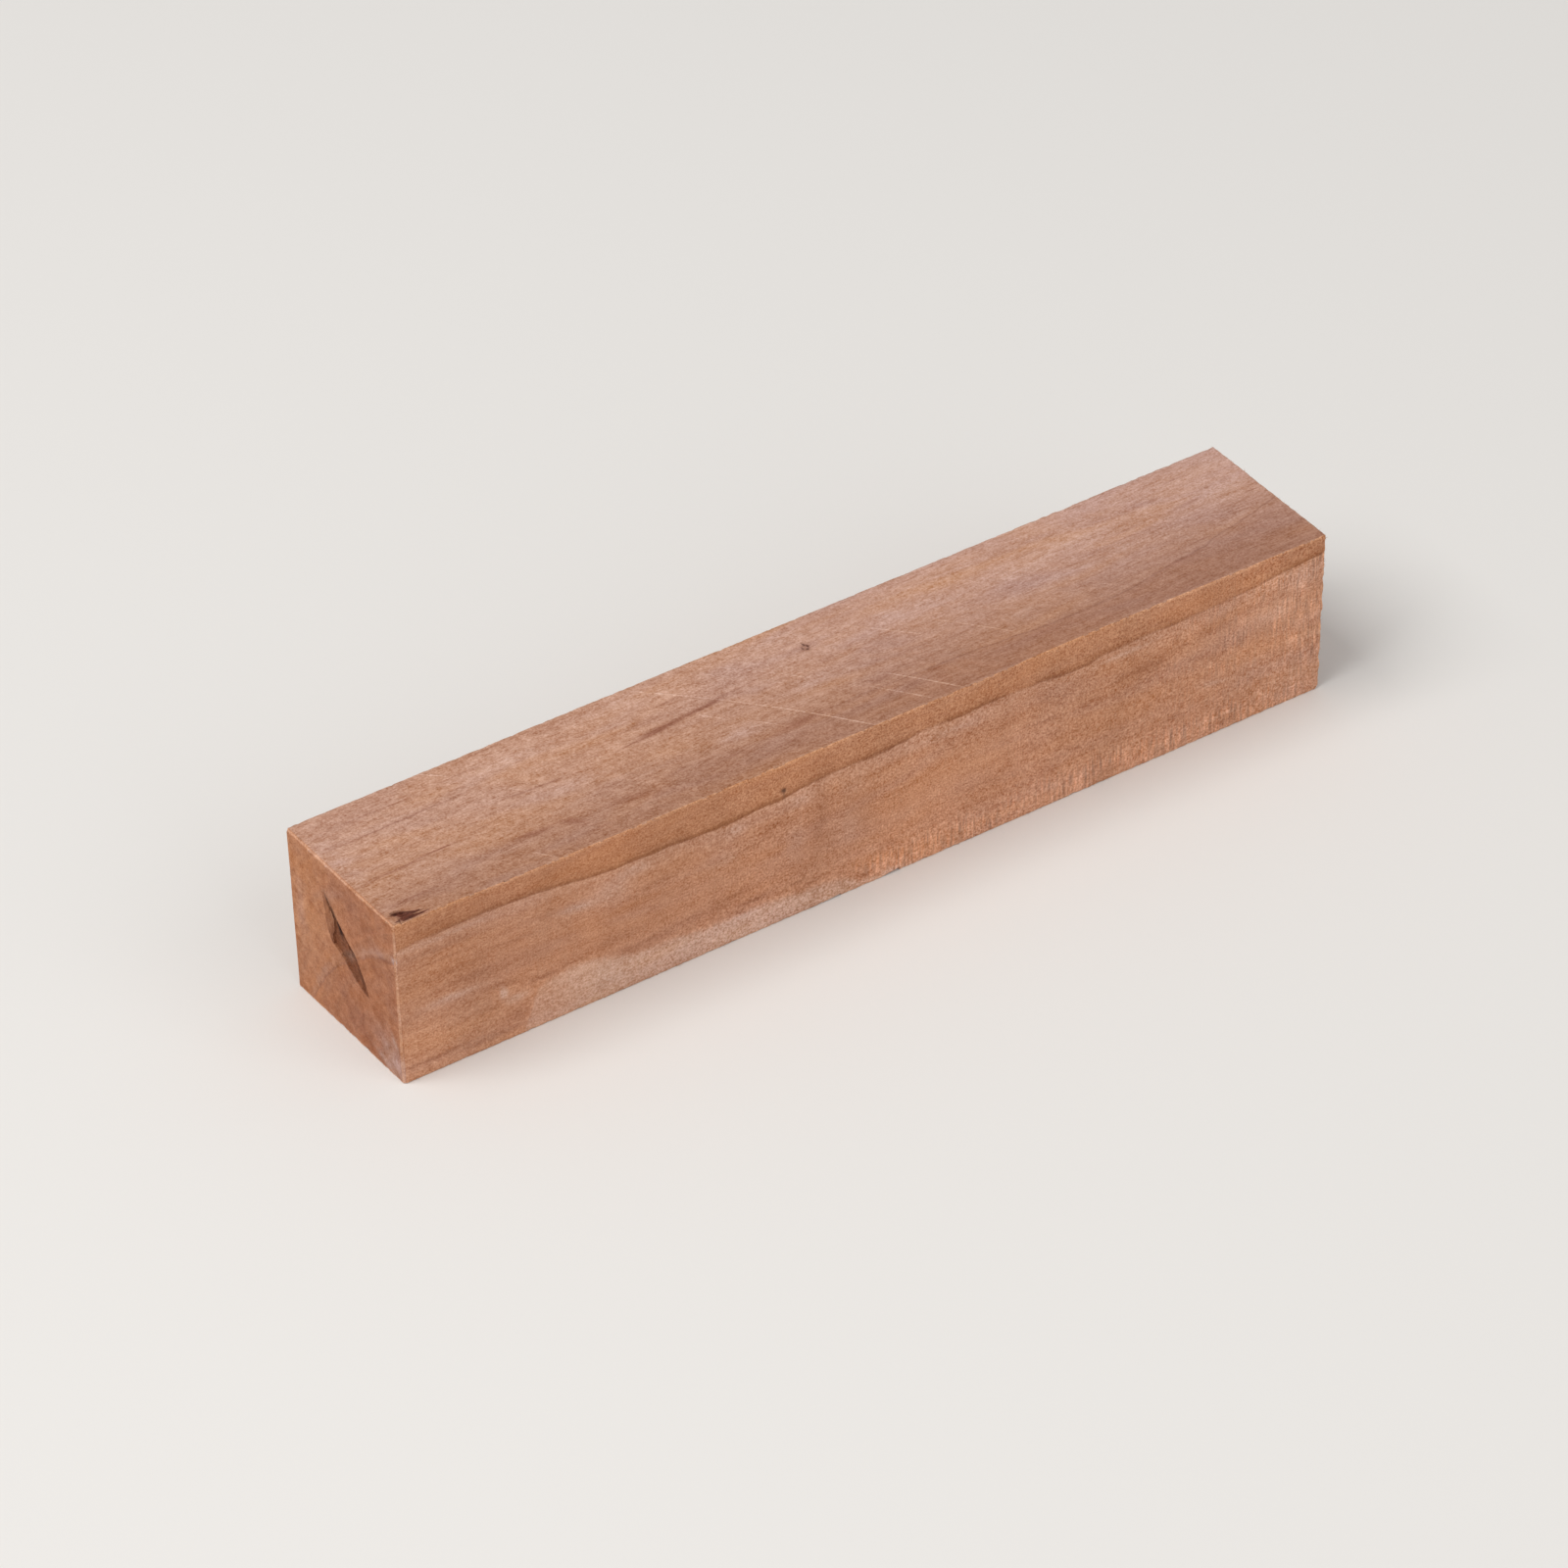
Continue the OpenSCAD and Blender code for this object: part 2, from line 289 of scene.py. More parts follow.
NEAR_PALE = (
    (-8.4, 2.2, 2.6, 2.4, 0.5, 0.85),
    (-8.8, 4.8, 0.6, 0.5, 1.2, 0.9),
    (-6.2, 1.2, 1.8, 0.6, 0.3, 0.7),
    # A painted highlight where a chip in the upper arris catches the light
    (-9.8, 16.25, 0.35, 0.35, 0.0, 1.5),
    (-7.2, 15.5, 2.0, 0.4, -0.45, 0.25),
    (-4.4, 13.9, 1.6, 0.4, -0.8, 0.3),
    (8.6, 12.0, 0.8, 5.0, 0.0, 0.2),
    (2.0, 17.6, 2.4, 0.8, -0.6, 0.25),
)
# The upper and lower edge of the ingrown bark's stain on the near end, as (y, z), and
# the nearly black middle of its crack, painted as shade
BARK_UPPER = (
    (-4.5, 7.4), (-4.1, 8.3), (-3.6, 9.6), (-3.0, 10.6), (-1.7, 12.2), (-0.3, 13.5),
    (0.7, 14.5), (2.0, 15.7), (3.0, 16.6), (3.8, 17.3),
)
BARK_LOWER = (
    (-4.5, 7.6), (-3.7, 7.6), (-2.5, 8.0), (-1.0, 8.8), (0.2, 9.7), (1.5, 10.4),
    (2.5, 10.8), (3.0, 11.6), (3.4, 13.5), (3.8, 17.3),
)
BARK_CRACK_SHADE = (
    (2.9, 16.3, 0.5, 0.3, 1.4, 0.8),
    (1.85, 14.85, 0.75, 0.62, 1.35, 1.3),
    (1.05, 13.6, 0.45, 0.75, 1.3, 1.3),
    (-1.2, 11.9, 1.0, 0.35, 1.15, 0.5),
    (-2.9, 9.4, 0.7, 0.5, 1.3, 0.4),
)
# On the far end the bark has all but closed
FAR_UPPER = ((-4.5, 8.0), (-1.0, 11.0), (0.5, 12.8), (1.4, 13.4), (3.8, 16.0))
FAR_LOWER = ((-4.5, 8.0), (-1.0, 11.0), (0.5, 12.2), (1.4, 13.4), (3.8, 16.0))
# The far end's nearly closed crack, painted dark as shade
FAR_CRACK_SHADE = ((0.6, 12.6, 0.3, 0.1, 1.1, 0.6),)
FAR_DARK = (
    (3.0, 14.0, 2.0, 0.5, -0.9, 0.5),
    (-4.0, 6.0, 1.5, 0.5, -0.7, 0.5),
    (6.0, 4.5, 0.5, 0.3, 0.2, 0.5),
    (-7.0, 15.0, 0.6, 0.3, -0.3, 0.5),
)
FAR_PALE = (
    (-6.0, 3.0, 2.0, 1.2, 0.3, 0.6),
    (5.5, 16.0, 2.0, 0.8, -0.4, 0.5),
)

# Growth rings that cross a face, as (along, across), and how dark each is there
FRONT_RING = (
    (-60, 17.55), (-55, 17.9), (-48, 17.95), (-42, 17.7), (-38, 17.2), (-34, 16.8),
    (-30, 16.65), (-24, 16.5), (-20, 16.3), (-16, 16.35), (-12, 16.5), (-8.5, 16.9),
    (-4, 17.05), (0, 17.1), (4, 17.35), (6.5, 17.6), (10, 17.4), (14, 17.55), (17, 17.5),
    (20, 17.3), (23, 17.1), (26, 16.85), (30, 17.3), (35, 17.45), (39.5, 17.35),
    (43, 17.5), (47, 17.6), (51, 17.9), (55, 18.3), (60, 18.75),
)
FRONT_RING_DEPTH = (
    (-60, 0.2), (-56, 0.45), (-50, 0.7), (-40, 0.75), (-30, 0.95), (-18, 1.0), (-10, 0.95),
    (-6, 0.65), (0, 0.75), (4, 0.85), (7, 0.25), (9.5, 0.85), (15, 0.9), (18, 0.25),
    (21, 0.65), (26, 0.8), (31, 0.5), (36, 0.45), (39.5, 0.9), (43, 0.4), (50, 0.6),
    (56, 0.9), (60, 0.95),
)
BACK_RING = ((-60, 12.0), (-35, 12.8), (-10, 11.6), (15, 12.2), (40, 10.9), (60, 10.2))
BACK_RING_DEPTH = ((-60, 0.3), (-30, 0.6), (0, 0.3), (25, 0.7), (60, 0.5))
FOOT_RING = ((-60, 7.3), (-40, 6.9), (-20, 7.8), (0, 7.2), (20, 8.0), (40, 7.1), (60, 6.6))
FOOT_RING_DEPTH = ((-60, 0.6), (-20, 0.9), (10, 0.5), (35, 0.8), (60, 0.6))
# The upper edge of the pale sapwood along the foot of the front side, as (x, z)
FRONT_SAPWOOD = (
    (-60, -3), (-47, -2.8), (-45.2, -0.6), (-43.8, 2.6), (-42.6, 5.2), (-40, 5.9),
    (-37, 5.9), (-33.5, 5.0), (-30, 4.2), (-26, 3.9), (-21, 3.3), (-15, 3.3), (-11, 2.9),
    (-7, 2.6), (-4, 2.1), (-2, 0.9), (4, 0.5), (9, -0.8), (60, -3),
)
NO_SAPWOOD = ((-60, -3), (60, -3))
TOP_RING = (
    (-60, -7.7), (-50, -7.1), (-40, -6.2), (-30, -6.5), (-20, -6.4), (-10, -5.6), (0, -5.0),
    (9, -5.3), (15, -5.5), (20, -5.9), (24, -6.2), (31, -6.3), (37, -6.0), (40, -5.5),
    (44, -4.8), (47.5, -4.4), (50, -3.6), (55, -2.6), (60, -1.2),
)
TOP_RING_DEPTH = (
    (-60, 0.0), (-30, 0.0), (-12, 0.3), (2, 0.5), (10, 0.75), (22, 0.9), (34, 0.8),
    (42, 0.9), (52, 0.8), (60, 0.7),
)
# Growth rings that cross the ends, as (y, z)
NEAR_RING = (
    (-10.5, 16.4), (-8.0, 15.6), (-4.7, 13.8), (-1.4, 11.1), (2.0, 8.2), (5.3, 4.0),
    (7.6, 0.1), (10.5, -6.0),
)
FAR_RING = (
    (-10.5, 19.0), (-8.0, 18.2), (-4.7, 16.0), (-1.4, 12.8), (2.0, 9.0), (5.3, 4.2),
    (7.6, 0.4), (10.5, -6.0),
)

# The circular saw left arcs on the top. Their centre lies before the blank, and each
# arc is a step along x from the first, with its strength and the lowest and highest y
# that it shows at
BLADE_RADIUS = 126.0
BLADE_X = -102.4
BLADE_Y = -83.9
SAW_ARCS = (
    (0.0, 0.9, -10.6, 10.2),
    (-4.3, 0.7, -0.8, 2.4),
    (-3.8, 0.6, -5.8, -2.0),
    (8.0, 0.75, -0.5, 10.6),
    (8.0, 0.65, -10.2, -4.0),
    (5.9, 0.4, 0.0, 8.5),
    (9.8, 0.35, 0.5, 9.5),
    (11.6, 0.8, -10.6, -2.8),
    (11.5, 0.3, -1.5, 8.0),
    (21.8, 0.8, -0.5, 7.0),
    (25.7, 0.6, -5.8, 2.2),
    (18.6, 0.15, 2.0, 8.0),
    (-25.4, 1.0, 7.6, 11.5),
    (-26.8, 0.4, 0.6, 4.6),
    (-37.2, 0.2, -5.2, -0.8),
    (-39.5, 0.5, -10.6, -7.6),
    (-14.5, 0.2, -3.0, 3.0),
    (40.0, 0.2, -6.5, -1.5),
    (43.6, 0.2, -4.0, 2.0),
)
ARC_HALF_WIDTH = 0.19
ARC_FADE = 1.2
# The centre of the growth rings, outside the section, as (y, z)
PITH = (-31.0, -14.0)

# Slow dips that the wood got as it dried, and the tear-out of the far upright arris
DRYING_DIP = 0.12 * MM
TEAR_OUT = 0.6 * MM
# A hollow less than this far below the top belongs to the torn corner
TORN_REACH = 0.8 * MM
# How far past the near end's plane its hollows go, and how much finer its grid is
POCKET_REACH = 1.6 * MM
END_FINER = 3
# Length of wood over which the front side's lean is measured, in mm
LEAN_BIN = 1.2
FIBRES_PER_MM2 = 9.0
# Width of the film in mm, and half the width of the floor in metres
FILM = 36.0
FLOOR_REACH = 3.0


class BlankFinish(bpy.types.PropertyGroup):
    """Sizes and colours of the sawn wood."""

    grid_along: bpy.props.FloatProperty(
        name="Grid along the grain",
        description="Spacing of the fine cross-sections",
        default=0.3 * MM,
        unit="LENGTH",
        precision=5,
    )
    grid_across: bpy.props.FloatProperty(
        name="Grid across the grain",
        description="Spacing of the fine lengthwise cuts",
        default=0.46 * MM,
        unit="LENGTH",
        precision=5,
    )
    saw_wave: bpy.props.FloatProperty(
        name="Saw wave",
        description="Height of the ridges that the saw's teeth left on the sides",
        default=0.06 * MM,
        unit="LENGTH",
        precision=6,
    )
    saw_pitch: bpy.props.FloatProperty(
        name="Saw pitch",
        description="Distance between two ridges on the sides",
        default=0.9 * MM,
        unit="LENGTH",
        precision=5,
    )
    fuzz: bpy.props.FloatProperty(
        name="Fuzz",
        description="Height of the fine roughness on all faces",
        default=0.05 * MM,
        unit="LENGTH",
        precision=6,
    )
    fray: bpy.props.FloatProperty(
        name="Fray",
        description="How deep the arrises are frayed",
        default=0.12 * MM,
        unit="LENGTH",
        precision=6,
    )
    crumbs: bpy.props.FloatProperty(
        name="Crumbs",
        description="Height of the crumbs of bark in the hollows",
        default=0.16 * MM,
        unit="LENGTH",
        precision=5,
    )
    fibre_length: bpy.props.FloatProperty(
        name="Fibre length",
        description="Length of the longest loose fibres",
        default=0.45 * MM,
        unit="LENGTH",
        precision=5,
    )
    fibre_width: bpy.props.FloatProperty(
        name="Fibre width",
        description="Width of a loose fibre at its root",
        default=0.05 * MM,
        unit="LENGTH",
        precision=6,
    )
    top_wood: bpy.props.StringProperty(
        name="Top wood", description="Colour of the lightly sanded top", default="#BE8F76"
    )
    side_wood: bpy.props.StringProperty(
        name="Side wood", description="Colour of the ripped sides", default="#C08868"
    )
    end_wood: bpy.props.StringProperty(
        name="End wood", description="Colour of the crosscut ends", default="#B87D58"
    )
    golden_wood: bpy.props.StringProperty(
        name="Golden wood", description="Colour of the band above the ring", default="#BF835E"
    )
    latewood: bpy.props.StringProperty(
        name="Latewood", description="Colour of the dense wood that ends a ring", default="#8C5430"
    )
    sapwood: bpy.props.StringProperty(
        name="Sapwood", description="Colour of the pale, greyish streaks", default="#D0A690"
    )
    bark: bpy.props.StringProperty(
        name="Bark", description="Colour of the ingrown bark", default="#80492C"
    )


class BlankStage(bpy.types.PropertyGroup):
    """The camera and the plain studio."""

    azimuth: bpy.props.FloatProperty(
        name="Azimuth",
        description="Turn of the camera from looking along +Y",
        default=math.radians(-33.6806),
        unit="ROTATION",
    )
    elevation: bpy.props.FloatProperty(
        name="Elevation",
        description="Height of the camera above level",
        default=math.radians(37.301),
        unit="ROTATION",
    )
    roll: bpy.props.FloatProperty(
        name="Roll",
        description="Turn of the camera about its own axis",
        default=math.radians(-0.9871),
        unit="ROTATION",
    )
    distance: bpy.props.FloatProperty(
        name="Distance",
        description="Distance of the camera from what it looks at",
        default=722.57 * MM,
        unit="LENGTH",
    )
    target: bpy.props.FloatVectorProperty(
        name="Target",
        description="The point in the middle of the picture",
        default=(-4.2507 * MM, 1.1194 * MM, 7.86 * MM),
        unit="LENGTH",
        precision=5,
    )
    lens: bpy.props.FloatProperty(
        name="Lens", description="Focal length for a 36 mm film", default=154.265, min=1.0
    )
    floor: bpy.props.StringProperty(
        name="Floor", description="Colour of the studio floor", default="#E6E3DF"
    )


def linear(colour):
    """An sRGB hex colour such as #C08F70 as linear RGBA."""
    channels = [int(colour[i : i + 2], 16) / 255 for i in (1, 3, 5)]
    return [
        *(c / 12.92 if c <= 0.04045 else ((c + 0.055) / 1.055) ** 2.4 for c in channels),
        1.0,
    ]


def add(tree, kind, inputs=(), **settings):
    """Adds one node, and sets its settings and its inputs, by key or else in order."""
    made = tree.nodes.new(kind)
    for name, value in settings.items():
        setattr(made, name, value)
    for key, value in inputs.items() if isinstance(inputs, dict) else enumerate(inputs):
        if isinstance(value, bpy.types.Node):
            value = value.outputs[0]
        if isinstance(value, bpy.types.NodeSocket):
            tree.links.new(value, made.inputs[key])
        else:
            made.inputs[key].default_value = value
    return made


def noise(tree, place, cells, detail=2.0, roughness=0.6, distortion=0.0):
    """Noise with the given number of cells per mm along each axis."""
    scaled = add(tree, VECTOR_MATH, (place, cells), operation="MULTIPLY")
    return add(
        tree,
        "ShaderNodeTexNoise",
        {
            "Vector": scaled,
            "Scale": 1.0,
            "Detail": detail,
            "Roughness": roughness,
            "Distortion": distortion,
        },
    )


def new_group(name, inputs, outputs):
    """A shader group with inputs as (name, default), and its two end nodes."""
    tree = bpy.data.node_groups.new(name, "ShaderNodeTree")
    kinds = {float: "NodeSocketFloat", tuple: "NodeSocketVector", list: "NodeSocketColor"}
    for label, default in inputs:
        socket = tree.interface.new_socket(
            label, in_out="INPUT", socket_type=kinds[type(default)]
        )
        socket.default_value = default
    for label, default in outputs:
        tree.interface.new_socket(label, in_out="OUTPUT", socket_type=kinds[type(default)])
    return tree, tree.nodes.new("NodeGroupInput").outputs, tree.nodes.new("NodeGroupOutput")


def curve_through(tree, value, points, span, result_span):
    """Reads a curve drawn through points in mm at a value in mm."""
    low, high = span
    base, top = result_span
    share = add(tree, MAP_RANGE, (value, low, high))
    curve = add(tree, "ShaderNodeFloatCurve", {"Value": share})
    line = curve.mapping.curves[0]
    placed = [
        (min(1, max(0, (u - low) / (high - low))), (v - base) / (top - base))
        for u, v in points
    ]
    line.points[0].location = placed[0]
    line.points[-1].location = placed[-1]
    for place in placed[1:-1]:
        line.points.new(*place)
    curve.mapping.use_clip = False
    curve.mapping.update()
    return add(tree, MAP_RANGE, {"Value": curve, "To Min": base, "To Max": top}, clamp=False)


def mark_group():
    """A soft-edged oval mark on a face, strongest at its middle."""
    tree, put, end = new_group(
        "soft_mark",
        (
            ("Along", 0.0),
            ("Across", 0.0),
            ("Middle along", 0.0),
            ("Middle across", 0.0),
            ("Half length", 1.0),
            ("Half width", 1.0),
            ("Slope", 0.0),
            ("Strength", 1.0),
        ),
        (("Factor", 0.0),),
    )
    run = add(tree, MATH, (put["Along"], put["Middle along"]), operation="SUBTRACT")
    rise = add(tree, MATH, (put["Across"], put["Middle across"]), operation="SUBTRACT")
    lean = add(tree, MATH, (run, put["Slope"]), operation="MULTIPLY")
    off = add(tree, MATH, (rise, lean), operation="SUBTRACT")
    far = add(tree, MATH, (run, put["Half length"]), operation="DIVIDE")
    wide = add(tree, MATH, (off, put["Half width"]), operation="DIVIDE")
    far_squared = add(tree, MATH, (far, far), operation="MULTIPLY")
    squared = add(tree, MATH, (wide, wide, far_squared), operation="MULTIPLY_ADD")
    fall = add(
        tree, MATH, (add(tree, MATH, (squared, -1.0), operation="MULTIPLY"),), operation="EXPONENT"
    )
    factor = add(tree, MATH, (fall, put["Strength"]), operation="MULTIPLY")
    tree.links.new(factor.outputs[0], end.inputs["Factor"])
    return tree


# Each layer of the wood's figure: its name, cells per mm along x, y and z, and detail
FIGURE_LAYERS = (
    # Soft blotches 5 to 20 mm long
    ("Blotch", (0.06, 0.22, 0.22), 3.0),
    # Bands a millimetre wide and a centimetre long
    ("Band", (0.08, 0.85, 0.85), 2.0),
    # Mottling a millimetre across, where the saw lifted the grain
    ("Mottle", (0.75, 1.0, 1.0), 2.0),
    # Fibres 2 mm long and a third of a millimetre wide
    ("Fibre", (0.5, 3.2, 3.2), 2.0),
    # Vessels as short flecks, drawn coarser than their real 0.05 mm
    ("Fleck", (1.8, 6.0, 6.0), 1.0),
    # Sanding and saw fuzz a quarter of a millimetre across
    ("Speck", (4.6, 4.6, 4.6), 2.0),
)
# How much red, green and blue change with a layer: pale wood is greyer, dark wood redder
FIGURE_CHANNELS = (0.72, 1.11, 1.47)


def figure_group():
    """Lightens, darkens and tints a wood colour by layers of noise."""
    tree, put, end = new_group(
        "fruitwood_figure",
        (
            ("Colour", [0.5, 0.4, 0.3, 1.0]),
            ("Place", (0.0, 0.0, 0.0)),
            *((name, 0.0) for name, cells, detail in FIGURE_LAYERS),
            ("Tint", 0.0),
        ),
        (("Colour", [0.5, 0.4, 0.3, 1.0]), ("Height", 0.0)),
    )
    value, height = 0.0, 0.0
    for name, cells, detail in FIGURE_LAYERS:
        # Only the broad layers wander; the fine ones stay crisp
        swirl = 0.4 if cells[1] < 2 else 0.0
        layer = noise(tree, put["Place"], cells, detail, 0.6, swirl)
        centred = add(tree, MATH, (layer, 0.5), operation="SUBTRACT")
        value = add(tree, MATH, (centred, put[name], value), operation="MULTIPLY_ADD")
        if name in ("Fibre", "Fleck", "Speck"):
            height = add(tree, MATH, (centred, put[name], height), operation="MULTIPLY_ADD")
    # Pinkish and tan zones a few millimetres wide
    hue = noise(tree, put["Place"], (0.07, 0.3, 0.3), 1.0, 0.5, 0.6)
    swing = add(
        tree,
        MATH,
        (add(tree, MATH, (hue, 0.5), operation="SUBTRACT"), put["Tint"]),
        operation="MULTIPLY",
    )
    tint = add(
        tree, VECTOR_MATH, (swing, (0.2, 0.0, -0.5), (1.0, 1.0, 1.0)), operation="MULTIPLY_ADD"
    )
    spread = add(tree, VECTOR_MATH, (value, FIGURE_CHANNELS, tint), operation="MULTIPLY_ADD")
    shaded = add(tree, VECTOR_MATH, (put["Colour"], spread), operation="MULTIPLY")
    tree.links.new(shaded.outputs[0], end.inputs["Colour"])
    tree.links.new(height.outputs[0], end.inputs["Height"])
    return tree


def marks(tree, rows, along, across, group):
    """The sum of one soft mark for each row, kept between 0 and 1."""
    total = None
    for row in rows:
        mark = add(tree, "ShaderNodeGroup", (along, across, *row), node_tree=group)
        total = mark if total is None else add(tree, MATH, (total, mark), operation="ADD")
    return add(tree, MATH, (total, 1.0), operation="MINIMUM")


def start_material(name):
    """An empty material, its shader, and Object coordinates in mm with their parts."""
    material = bpy.data.materials.new(name)
    material.use_nodes = True
    tree = material.node_tree
    tree.nodes.clear()
    shader = add(tree, "ShaderNodeBsdfPrincipled")
    add(tree, "ShaderNodeOutputMaterial", {"Surface": shader})
    coords = add(tree, "ShaderNodeTexCoord")
    place = add(
        tree, VECTOR_MATH, {0: coords.outputs["Object"], "Scale": IN_MM}, operation="SCALE"
    )
    parts = add(tree, "ShaderNodeSeparateXYZ", (place,)).outputs
    return material, tree, shader, place, parts


def swung(tree, made, amount, base):
    """A base moved up and down by up to half an amount, as noise says."""
    centred = add(tree, MATH, (made, 0.5), operation="SUBTRACT")
    return add(tree, MATH, (centred, amount, base), operation="MULTIPLY_ADD")


def warped(tree, place, value, amount, cells):
    """A coordinate moved by up to half an amount in mm, by noise of the given cells."""
    return swung(tree, noise(tree, place, cells), amount, value)


def toned(tree, colour, layers):
    """A colour mixed in turn towards the tone of each (factor, strength, tone)."""
    colour = linear(colour)
    for factor, strength, tone in layers:
        amount = add(tree, MATH, (factor, strength), operation="MULTIPLY", use_clamp=True)
        put = {0: amount, 6: colour, 7: linear(tone)}
        colour = add(tree, "ShaderNodeMix", put, data_type="RGBA").outputs[2]
    return colour


def figured(tree, groups, place, tone, shade, **weights):
    """The figure over a tone, lit by a shade, and the figure's height."""
    put = {"Colour": tone, "Place": place, **weights}
    figure = add(tree, "ShaderNodeGroup", put, node_tree=groups["figure"])
    lit = add(tree, VECTOR_MATH, {0: figure.outputs["Colour"], "Scale": shade}, operation="SCALE")
    return lit, figure.outputs["Height"]


def finished(tree, shader, colour, height, roughness, distance):
    """Sets bare wood's colour, roughness and bump: high specks are rougher and paler."""
    tree.links.new(colour.outputs[0], shader.inputs["Base Color"])
    rough = add(tree, MATH, (height, 0.25, roughness), operation="MULTIPLY_ADD", use_clamp=True)
    tree.links.new(rough.outputs[0], shader.inputs["Roughness"])
    shader.inputs["IOR"].default_value = 1.5
    shader.inputs["Specular IOR Level"].default_value = 0.3
    bump = add(tree, "ShaderNodeBump", {"Height": height, "Strength": 1.0, "Distance": distance})
    tree.links.new(bump.outputs[0], shader.inputs["Normal"])


def line_at(tree, off, half_width):
    """A line where a distance in mm is nought, with soft edges."""
    return add(
        tree,
        MAP_RANGE,
        (add(tree, MATH, (off,), operation="ABSOLUTE"), half_width, 0.0),
        interpolation_type="SMOOTHSTEP",
    )


def top_material(finish, groups):
    """Pear, ripped and lightly sanded: pinkish tan, with pale arcs from the saw's blade."""
    material, tree, shader, place, parts = start_material("sanded_fruitwood")
    x = warped(tree, place, parts["X"], 0.8, (0.5, 1.0, 1.0))
    y = warped(tree, place, parts["Y"], 0.6, (0.35, 1.2, 1.2))

    ring = curve_through(tree, x, TOP_RING, ALONG, (-12.0, 0.0))
    depth = curve_through(tree, x, TOP_RING_DEPTH, ALONG, (0.0, 1.0))
    off = add(tree, MATH, (y, ring), operation="SUBTRACT")
    beyond = add(
        tree,
        MATH,
        (add(tree, MAP_RANGE, (off, 0.25, -0.35), interpolation_type="SMOOTHSTEP"), depth),
        operation="MULTIPLY",
    )
    ring_line = add(tree, MATH, (line_at(tree, off, 0.22), depth), operation="MULTIPLY")
    # The wood darkens towards the front, over more of the top at the far end
    lean = add(
        tree, MAP_RANGE, (parts["X"], -50.0, 10.0, 1.6, -1.2), interpolation_type="SMOOTHSTEP"
    )
    dusky = add(
        tree,
        MAP_RANGE,
        (add(tree, MATH, (y, lean), operation="ADD"), 5.0, -12.0),
        interpolation_type="SMOOTHSTEP",
    )

    # Distance from the first of the blade's arcs, along x
    reach = add(tree, MATH, (parts["Y"], BLADE_Y), operation="SUBTRACT")
    reach_squared = add(tree, MATH, (reach, reach), operation="MULTIPLY")
    bow = add(
        tree,
        MATH,
        (add(tree, MATH, (BLADE_RADIUS**2, reach_squared), operation="SUBTRACT"),),
        operation="SQRT",
    )
    from_centre = add(tree, MATH, (parts["X"], BLADE_X), operation="SUBTRACT")
    step = add(tree, MATH, (from_centre, bow), operation="SUBTRACT")
    arcs = None
    for offset, strength, low, high in SAW_ARCS:
        near = line_at(tree, add(tree, MATH, (step, offset), operation="SUBTRACT"), ARC_HALF_WIDTH)
        near.inputs["To Max"].default_value = strength
        foot = add(
            tree, MAP_RANGE, (parts["Y"], low, low + ARC_FADE), interpolation_type="SMOOTHSTEP"
        )
        head = add(
            tree, MAP_RANGE, (parts["Y"], high, high - ARC_FADE), interpolation_type="SMOOTHSTEP"
        )
        shown = add(
            tree,
            MATH,
            (near, add(tree, MATH, (foot, head), operation="MULTIPLY")),
            operation="MULTIPLY",
        )
        arcs = shown if arcs is None else add(tree, MATH, (arcs, shown), operation="MAXIMUM")
    gaps = add(
        tree,
        MAP_RANGE,
        (noise(tree, place, (0.35, 0.35, 0.35), 3.0, 0.7), 0.35, 0.55, 0.85),
        interpolation_type="SMOOTHSTEP",
    )
    scratch = add(tree, MATH, (arcs, gaps), operation="MULTIPLY")
    # Fainter arcs from the other teeth, about a millimetre apart
    teeth = add(
        tree,
        "ShaderNodeTexNoise",
        {"W": step, "Scale": 0.9, "Detail": 3.0, "Roughness": 0.7},
        noise_dimensions="1D",
    )
    swept = add(tree, MATH, (teeth, 0.14, 0.93), operation="MULTIPLY_ADD")

    dark = marks(tree, TOP_DARK, x, y, groups["mark"])
    pale = marks(tree, TOP_PALE, x, y, groups["mark"])
    # The dark bark and its painted shadow line the torn place's steep walls too, so their outline
    # leans down them
    below = add(tree, MATH, (HEIGHT, parts["Z"]), operation="SUBTRACT")
    near_x = warped(tree, place, parts["X"], 0.5, (1.5, 3.0, 1.0))
    near_y = warped(tree, place, parts["Y"], 0.3, (0.8, 3.5, 1.0))
    near_x = add(tree, MATH, (below, -0.7, near_x), operation="MULTIPLY_ADD")
    near_y = add(tree, MATH, (below, -1.1, near_y), operation="MULTIPLY_ADD")
    torn = marks(tree, TORN_BARK_AND_SHADOW, near_x, near_y, groups["mark"])
    torn = add(tree, MAP_RANGE, (torn, 0.15, 0.9), interpolation_type="SMOOTHSTEP")
    shreds = add(
        tree,
        MAP_RANGE,
        (noise(tree, place, (0.8, 4.5, 4.5), 2.0), 0.4, 0.62),
        interpolation_type="SMOOTHSTEP",
    )
    shreds = add(tree, MATH, (shreds, torn), operation="MULTIPLY")
    knot = marks(tree, TOP_KNOT, parts["X"], parts["Y"], groups["mark"])

